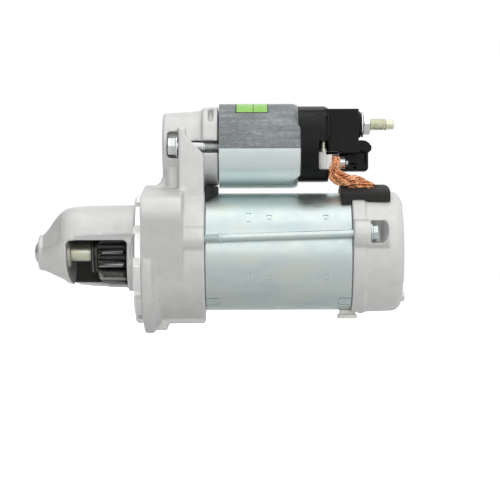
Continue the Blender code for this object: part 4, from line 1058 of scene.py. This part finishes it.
def solenoid_screw(side, name):
    """A flanged hexagon screw that holds the solenoid, with a raised ring before its thread."""
    screw = threaded(name, [(18, 0), (18, 3.5), (21, 3.5), (21, 6.3), (21.4, 6.7), (22.2, 6.7), (22.2, 2.9),
                            (37.6, 2.9),
                            (37.7, 3.15), (39.0, 3.15), (39.2, 2.95), (52.6, 2.3), (53, 2.0), (53, 0)],
                     39.6, 52.4, 2.9, 1.0, 0.45)
    head = hex_solid("head", 16.2, 21.2, 10.6, 0, 0, (True, False))
    cut(head, turned("dimple", [(16, 0), (16, 3.4), (17.2, 2.6), (17.2, 0)], SMALL))
    join(screw, head)
    return moved(screw, side * SCREW_Y, SCREW_Z)


def motor_stud():
    """The threaded stud of the motor terminal."""
    low, high = corners("motor_stud")
    profile = [(low.x, 0), (low.x, 2.5), (high.x - 0.3, 2.2), (high.x, 1.9), (high.x, 0)]
    return moved(threaded("motor_terminal", profile, 124, high.x - 0.5, 2.5, 0.8, 0.4), MOTOR_Y, MOTOR_Z)


def terminal_block():
    """The tinned block between the cap and the motor lead, in two steps."""
    outline = [(114.2, 54.2), (114.8, 53.6), (122.7, 53.6), (122.7, 63.2), (118.9, 63.2), (118.9, 64.9),
               (114.2, 64.9)]
    body = prism("terminal_block_steps", [outline], -14, -3, "Y")
    cut(body, disc("hole", 113, 124, MOTOR_HOLE_R, SMALL, MOTOR_Y, MOTOR_Z),
        block("seam", (118.7, -15, 55), (119.05, -13.4, 66)))
    return bevel(body, 0.35, 2)


def terminal_tab():
    """The knurled rivet that stands in the cap's slot above the block."""
    body = turned("tab", [(0, 0), (0, 2.6), (2.2, 2.6), (2.6, 1.9), (6.2, 1.9), (6.6, 1.5), (6.6, 0)], 32)
    body.name = "terminal_rivet"
    for index in range(4):
        cut(body, prism("knurl", [circle(3.4, SMALL), circle(1.65, SMALL)], 2.9 + index * 0.8,
                        3.2 + index * 0.8))
    body.data.transform(Matrix.Translation((117.2, -12.2, 65)) @ Matrix.Rotation(-math.pi / 2, 4, "Y"))
    return body


# --- Motor lead -----------------------------------------------------------------------------------

# LEAD_ROUTE is the middle of the hole in the grommet, and BRAID_ROUTE is the middle of the braid.
LEAD_ROUTE = ((126.0, -9.0, 51.6), (127.4, -10.4, 48.8), (130.8, -12.2, 47.6), (135.0, -13.6, 47.4),
              (139.4, -14.0, 46.6), (143.4, -13.0, 44.6), (146.8, -11.2, 41.6), (149.6, -9.4, 38.4))
BRAID_ROUTE = ((125.0, -11.6, 61.6), (124.8, -12.4, 58.0), (124.4, -12.8, 54.0), (124.8, -12.8, 50.6),
               (127.0, -13.4, 48.2), (131.0, -14.6, 46.6), (135.8, -15.2, 45.2), (140.4, -15.0, 43.8),
               (144.6, -13.6, 42.2), (148.0, -11.4, 40.2), (150.0, -9.4, 38.2))


def smooth_route(points, per_span=3):
    """Points of a smooth curve through the given ones."""
    route = [Vector(p) for p in points]
    ends = [2 * route[0] - route[1], *route, 2 * route[-1] - route[-2]]
    out = []
    for a, b, c, d in zip(ends, ends[1:], ends[2:], ends[3:]):
        for i in range(per_span):
            t = i / per_span
            out.append(0.5 * (2 * b + (c - a) * t + (2 * a - 5 * b + 4 * c - d) * t * t
                              + (3 * b - 3 * c + d - a) * t ** 3))
    return [*out, route[-1]]


def tubes(name, routes, radius, resolution=2):
    """Round tubes along several routes, as one mesh."""
    curve = bpy.data.curves.new(name, "CURVE")
    curve.dimensions, curve.use_fill_caps = "3D", True
    curve.bevel_depth, curve.bevel_resolution = radius, resolution
    for route in routes:
        spline = curve.splines.new("POLY")
        spline.points.add(len(route) - 1)
        for point, place in zip(spline.points, route):
            point.co = (*place, 1)
    return curve_solid(name, curve)


def lead_tube(name, radius, beyond):
    """A round tube along the lead, which runs on past its end by beyond."""
    route = smooth_route(LEAD_ROUTE)
    route.append(route[-1] + (route[-1] - route[-2]).normalized() * beyond)
    return tubes(name, [route], radius)


def braid(name, bundles=4, strands=13, bundle_reach=2.15, strand_reach=1.55, radius=0.4):
    """Bundles of fine wires twisted round each other along the lead's route."""
    spine = smooth_route(BRAID_ROUTE, 12)
    side = Vector((0, -1, 0))
    shake = random.Random(7)
    frames, along = [], 0.0
    for i, point in enumerate(spine):
        tangent = (spine[min(i + 1, len(spine) - 1)] - spine[max(i - 1, 0)]).normalized()
        side = (side - tangent * side.dot(tangent)).normalized()
        along += (point - spine[i - 1]).length if i else 0.0
        frames.append((point, side, tangent.cross(side), along))
    routes = []
    for bundle in range(bundles):
        for strand in range(strands):
            reach = strand_reach * (0.4 if strand % 3 == 2 else 1.0)
            phase = math.tau * strand / strands + shake.uniform(-0.2, 0.2)
            wander = shake.uniform(0.85, 1.15)
            route = []
            for point, across, up, travel in frames:
                big = math.tau * (bundle / bundles + travel / 52)
                small = phase - math.tau * travel / 15 * wander
                squeeze = min(1.0, 0.62 + 0.06 * max(0.0, travel - 5))
                offset_up = bundle_reach * math.sin(big) + reach * math.sin(small)
                offset_across = bundle_reach * math.cos(big) + reach * math.cos(small)
                route.append(point + across * offset_across * 0.75 + up * offset_up * squeeze * 1.25)
            routes.append(route)
    return tubes(name, routes, radius, 1)


def lead_eye():
    """The pressed eye at the lead's end, round the motor terminal."""
    eye = prism("lead_eye", [rounded((MOTOR_Y - 4.6, 51.5), (MOTOR_Y + 4.8, 63), 4.2),
                             circle(MOTOR_HOLE_R, SMALL, MOTOR_Y, MOTOR_Z)],
                123.1, 126.9)
    return bevel(eye, 0.5, 3)


# --- Solenoid and its cap -------------------------------------------------------------------------

def solenoid_can():
    """The steel can: a folded front rim, a seam, and a tab on each side that is crimped over the cap."""
    front, rear, edge, radius = CAN_LOW.x, CAN_HIGH.x + 1.1, CAN_HIGH.x - 0.6, CAN_R
    can = turned("solenoid_can", [
        (front, 12.4), (front, 27.2), (front + 0.3, radius + 0.1), (front + 1.2, radius + 0.1),
                                  (front + 1.5, radius),
        (edge - 3.4, radius), (edge - 2.2, radius - 0.22), (edge - 1.1, radius - 0.75),
                                  (edge - 0.35, radius - 1.25),
        (edge, CAP_R + 0.15), (edge - 2, CAP_R + 0.15), (54.2, CAP_R + 0.15), (54.2, 12.4)], 120, 0,
                 SOLENOID_Z)
    tabs = turned("tabs", [(edge - 5, CAP_R + 0.8), (edge - 5, radius - 0.4), (edge - 4.6, radius),
                           (rear - 1.4, radius),
                           (rear - 0.6, radius - 0.3), (rear, radius - 1.1), (rear, CAP_R + 0.3),
                           (rear - 0.8, CAP_R + 0.15), (edge - 4, CAP_R + 0.15)], 120, 0, SOLENOID_Z)
    for side in (-1, 1):
        points = []
        for x, low, high in ((edge - 6, -55, 35), (edge - 0.6, -47, 27), (rear - 1.6, -43, 19),
                             (rear + 1, -41, 17)):
            for angle in (low, high):
                y, z = polar(40, math.radians(angle))
                points += [(x, -side * y, SOLENOID_Z + z), (x, 0, SOLENOID_Z - 3)]
        keep = hull("keep", points)
        tab = as_object("tab", as_bmesh(tabs.data))
        join(can, boolean(tab, keep, "INTERSECT"))
    bpy.data.objects.remove(tabs)
    seam = block("seam", (front + 2, -radius - 1, -0.16), (edge - 2, -radius + 0.25, 0.16))
    turn = Matrix.Rotation(math.radians(36.5), 4, "X")
    seam.data.transform(Matrix.Translation((0, 0, SOLENOID_Z)) @ turn)
    cut(can, seam)
    for side in (-1, 1):
        cut(can, rod("screw_hole", (front - 1, side * SCREW_Y, SCREW_Z), (55, side * SCREW_Y, SCREW_Z),
                     SCREW_HOLE_R))
    return can


def arched(name, front, rear, reach, low, high, steps=48):
    """A thin patch that follows the can over its top, reach to each side in degrees, between two radii."""
    outline = [(r * math.sin(a), SOLENOID_Z + r * math.cos(a))
               for r, way in ((low, 1), (high, -1))
               for a in (math.radians(way * reach * (2 * i / steps - 1)) for i in range(steps + 1))]
    return prism(name, [outline], front, rear)


def cap_moulding():
    """The moulded cap: drum, battery terminal's tower, room for the motor terminal, and connector."""
    rear, room = 118.1, 113.9
    cap = turned("cap_moulding", [(CAP_LOW.x, 0), (CAP_LOW.x, CAP_R), (rear, CAP_R),
                                  (BOX_FRONT - 0.4, CAP_R - 1.0),
                                  (BOX_FRONT - 0.4, 0)], ROUND, 0, SOLENOID_Z)
    join(cap, block("shoulder", (101.6, -14.4, 60), (rear, 14.4, 92.4)),
         block("tower", (rear - 1, -BOX_HALF, BOX_BOTTOM), (BOX_REAR, BOX_HALF, BOX_TOP)),
         disc("boss", BOX_REAR - 1, BOX_REAR + 1.9, 8.7, ROUND, 0, BATTERY_Z),
         prism("connector", [[(128, 53), (146, 53), (147.2, 54.5), (147.2, 65), (149.2, 66.5), (149.6, 69.5),
                              *arc(143.6, 67.4, 5.8, 25, 90, 6), (138, 73.2), (128, 66)]], -2, 14, "Y"))
    cut(cap, disc("inside", 96, 111.6, 22, ROUND, 0, SOLENOID_Z),
        disc("battery_hole", 110, BOX_REAR + 3, BATTERY_HOLE_R, SMALL, 0, BATTERY_Z),
        disc("battery_room", 110, 115.6, 6.4, SMALL, 0, BATTERY_Z),
        block("slot", (room, -28, 60), (120.2, -9.5, 71.6)),
        disc("motor_hole", 110, 114, MOTOR_HOLE_R, SMALL, MOTOR_Y, MOTOR_Z),
        block("terminal_room", (room, -28, 53.1), (127, -2.2, 65.4)),
        block("side", (rear + 0.6, -30, 60), (BOX_FRONT + 2, -BOX_HALF - 3.4, 96)),
        block("far_side", (rear + 0.6, BOX_HALF + 3.4, 60), (BOX_FRONT + 2, 30, 96)),
        block("socket", (135, 0.2, 55.2), (152, 12, 67)),
        block("panel", (134.8, -4, 57.4), (145.4, -1.0, 65.6)),
        block("latch", (143.6, 2.6, 68.0), (152, 9.6, 71.2)),
        rod("drain", (138.2, -3, 55.0), (138.2, 1, 55.0), 0.8),
        block("flat", (95, -30, 40), (CAP_HIGH.x, 30, 46.1)))
    return soften(cap, 0.55, 3)


def cap_ribs():
    """The fine ribs that the mould leaves on the near side of the cap."""
    def on_drum(z):
        return -math.sqrt(CAP_R ** 2 - (z - SOLENOID_Z) ** 2)

    hoop = [(113.0, 70.0), (113.0, 87.6), *arc(114.9, 87.6, 1.9, 180, 0, 10), (116.8, 78.4)]
    routes = [[Vector((x, on_drum(z) - 0.02, z)) for x, z in hoop],
              [Vector((120.3, on_drum(z) + 1.0, z)) for z in (74.5, 77, 80, 83, 86, 89)],
              [Vector((122.2, -BOX_HALF - 0.02, z)) for z in (64.8, 72, 80, 91.0)],
              [Vector((x, on_drum(91.2) - 0.1, 91.2)) for x in (103, 107, 111, 117.4)]]
    return tubes("cap_ribs", routes, 0.34, 2)


# --- Drive ----------------------------------------------------------------------------------------

def gear_outline(teeth, module, tip, root, widen, steps=5):
    """An involute gear's outline; widen is added to the width of each tooth."""
    pitch = teeth * module / 2
    base = pitch * math.cos(PRESSURE)

    def half_angle(radius):
        lean = math.acos(min(1.0, base / max(radius, base)))
        at_pitch = math.pi / (2 * teeth) + widen / (2 * pitch)
        return at_pitch + math.tan(PRESSURE) - PRESSURE - (math.tan(lean) - lean)

    radii = [root, *(root + (tip - root) * i / steps for i in range(1, steps + 1))]
    points = []
    for tooth in range(teeth):
        middle = math.tau * tooth / teeth
        flank = [(r, half_angle(r)) for r in radii]
        points += [(r * math.cos(middle - half), r * math.sin(middle - half)) for r, half in flank]
        points += [(r * math.cos(middle + half), r * math.sin(middle + half)) for r, half in reversed(flank)]
    return points


def pinion_gear():
    """The pinion with chamfered teeth, and its sleeve, which is the clutch's inner race."""
    front, rear = -30.4, -12.2
    teeth = prism("pinion_gear", [gear_outline(PINION_TEETH, PINION_MODULE, PINION_TIP, PINION_ROOT, 0.6),
                                  circle(6.35, SMALL)], front, rear)
    lathe = turned("lathe", [(front, 0), (front, 16.6), (front + 0.5, 17.6), (front + 3.4, PINION_TIP - 0.15),
                             (front + 3.9, PINION_TIP + 0.1), (rear - 1.6, PINION_TIP + 0.1),
                             (rear - 0.9, 20.2),
                             (rear, 18.6), (rear, 0)])
    boolean(teeth, lathe, "INTERSECT")
    sleeve = turned("sleeve", [(rear - OVERLAP, 6.36), (rear - OVERLAP, 12.6), (20.2, 12.6), (20.2, 9),
                               (-6, 9), (-8, 6.36)])
    return join(bevel(teeth, 0.3, 2, 28), sleeve)


def stop_collar():
    """The collar and its snap ring, which keep the pinion on its sleeve."""
    return turned("pinion_stop", [(-35.2, 6.4), (-35.2, 12.2), (-34.9, 12.8), (-34.2, 13.4), (-33.3, 13.5),
                                  (-32.9, 13.0),
                                  (-32.7, 12.3), (-32.2, 12.3), (-32.1, 13.0), (-31.8, 13.3), (-31.2, 13.3),
                                  (-30.9, 13.0), (-30.9, 6.4)])


def spline_outline(inner, outer, share, splines=10):
    """A shaft outline with straight splines."""
    points = []
    for spline in range(splines):
        middle, half = math.tau * spline / splines, math.pi / splines
        points += [(r * math.cos(middle + half * a), r * math.sin(middle + half * a))
                   for r, a in ((inner, -share), (outer, -share), (outer, share), (inner, share))]
    return points


def output_shaft():
    """The drive shaft: carrier plate and planet pins, middle journal, splines and the long nose journal."""
    shaft = turned("output_shaft", [
        (-65.2, 0), (-65.2, 5.0), (-64.4, 6.0), (-36.6, 6.0), (-36.4, 5.8), (-35.6, 5.8), (-35.4, 6.0),
                                    (8.9, 6.0),
        (8.9, 7.1), (31.3, 7.1), (31.3, 8.1), (37.6, 8.1), (37.6, 24.2), (37.9, 24.5), (41.3, 24.5),
                                    (41.6, 24.2),
        (41.6, 3.7), (38.2, 3.7), (38.2, 0)], 64)
    join(shaft, prism("splines", [spline_outline(7.3, 8.4, 0.5)], 8.4, 31.8))
    for y, z in circle(PLANET_REACH, PLANETS):
        join(shaft, rod("pin", (41, y, z), (57.0, y, z), 3.1))
    return shaft


def clutch_race():
    """The overrunning clutch's outer race, with a splined hub that slides on the shaft."""
    body = turned("clutch_race", [(5.0, 13), (5.0, 20.6), (5.4, 21.4), (6.2, 22), (12, 22), (12.3, 21.7),
                                  (13.0, 21.7),
                                  (13.3, 22), (21.0, 22), (21.8, 21.6), (22.2, 21), (22.2, 11.5),
                                  (30.7, 11.5),
                                  (30.7, 9.6), (20.6, 9.6), (20.6, 13)])
    return join(body, prism("hub", [circle(10.6), spline_outline(7.6, 8.7, 0.62)], 20.8, 30.6))


# --- The whole motor ------------------------------------------------------------------------------

def main():
    camera()
    studio()

    cast, machined, plate, steel = cast_aluminium(), machined_aluminium(), zinc(), bright_steel()
    yellow, dark, sintered = yellow_zinc(), dark_steel(), bronze()
    black = moulded("cap_plastic", "black_plastic", (0.003, 0.0035, 0.004), (0.006, 0.0065, 0.007), 0.36, 0.3,
                    0.02,
                    Specular_IOR_Level=0.2)
    rubber = moulded("rubber", "rubber", (0.014, 0.014, 0.013), (0.024, 0.024, 0.022), 0.6, 0.35, 0.05,
                     Specular_IOR_Level=0.3)
    tin = moulded("tin_plate", "bright_steel", (0.86, 0.86, 0.82), (0.94, 0.94, 0.90), 0.45, 0.4, 0.01)
    cream = moulded("cream_plastic", "cream_plastic", (0.76, 0.76, 0.68), (0.85, 0.85, 0.78), 0.42, 0.5, 0.03,
                    Subsurface_Weight=0.15, Subsurface_Radius=(0.003, 0.003, 0.002))
    gear_plastic = moulded("gear_plastic", "gear_plastic", (0.24, 0.23, 0.20), (0.33, 0.32, 0.28), 0.45, 0.3,
                           0.03)
    ferrite = moulded("ferrite", "magnet", (0.10, 0.10, 0.11), (0.17, 0.17, 0.18), 0.55, 0.25, 0.04)
    carbon = moulded("carbon", "carbon", (0.04, 0.04, 0.04), (0.08, 0.08, 0.08), 0.5, 0.4, 0.03)

    show(front_casting(), cast, "front_housing")
    show(register_web(), cast, "front_housing")
    show(register_ring(), machined, "front_housing")
    show(nose_bush(), sintered, "nose_bush")
    show(nose_plug(), steel, "nose_plug")
    show(lever_seal(), rubber, "lever_seal")

    show(yoke_tube(), plate, "yoke")
    for side, name in enumerate(("near", "far")):
        show(through_bolt(side, f"long_bolt_{name}"), plate, f"through_bolt_{name}")
        show(solenoid_screw(2 * side - 1, f"can_screw_{name}"), steel, f"solenoid_screw_{name}")
    show(end_casting(), cast, "end_cover")
    for index, (y, z) in enumerate(COVER_SCREWS):
        show(recessed_screw(f"cover_screw_{index + 1}", y, z), steel, f"end_cover_screw_{index + 1}")
    show(drain_vent(), cream, "drain_vent")
    show(grommet(), rubber, "grommet")

    show(solenoid_can(), can_zinc(), "solenoid_case")
    show(cap_moulding(), black, "solenoid_cap", angle=60)
    show(cap_ribs(), black)
    show(battery_stud(), yellow, "battery_stud")
    show(battery_washer(), steel, "battery_washer")
    show(hex_solid("battery_hexagon", NUT_LOW.x, NUT_HIGH.x, 13, 0, BATTERY_Z, bore=BATTERY_HOLE_R), steel,
         "battery_nut")
    show(motor_stud(), steel, "motor_stud")
    show(hex_solid("motor_hexagon", 127.2, 131.4, 8, MOTOR_Y, MOTOR_Z, bore=2.7), steel, "motor_nut")
    show(terminal_block(), tin, "motor_terminal_block")
    show(terminal_tab(), yellow)
    bare = copper()
    show(braid("braided_lead"), bare, "motor_lead")
    show(lead_eye(), bare, "motor_lead")
    for index, (front, rear) in enumerate(((60.6, 71.2), (71.6, 80.6))):
        show(arched(f"label_{index + 1}", front, rear, 40.5, CAN_R - 0.05, CAN_R + 0.1), label_paint())
    border = Look("label_border", "zinc_plated_steel", roughness=0.4)
    border.set("Base Color", border.spread(2, 0.006, 0.012))
    show(arched("label_edge", 59.8, 81.3, 42, CAN_R - 0.05, CAN_R + 0.06), border)

    show(pinion_gear(), dark, "pinion", body="pinion", angle=30)
    show(stop_collar(), dark, "stop_collar", body="pinion")
    show(output_shaft(), yellow, "drive_shaft", body="drive")
    show(clutch_race(), dark, "clutch", body="clutch")

    paint(ferrite, *(f"magnet_{i}" for i in range(1, 7)))
    paint(gear_plastic, "ring_gear", "brush_holder", "shift_collar", "shift_lever")
    paint(dark, "centre_plate", "armature_shaft", "fixed_core", "planet_gear_1", "planet_gear_2",
          "planet_gear_3")
    paint(steel, "rear_bearing", "control_blade", "plunger_spring",
          *(f"brush_spring_{i}" for i in range(1, 5)))
    paint(yellow, "plunger")
    paint(carbon, *(f"brush_{i}" for i in range(1, 5)))
    paint(laminations(), "armature_core")
    paint(wound_wire(), "armature_winding", "solenoid_coil")
    paint(bare, "commutator", "contact_disc")


main()
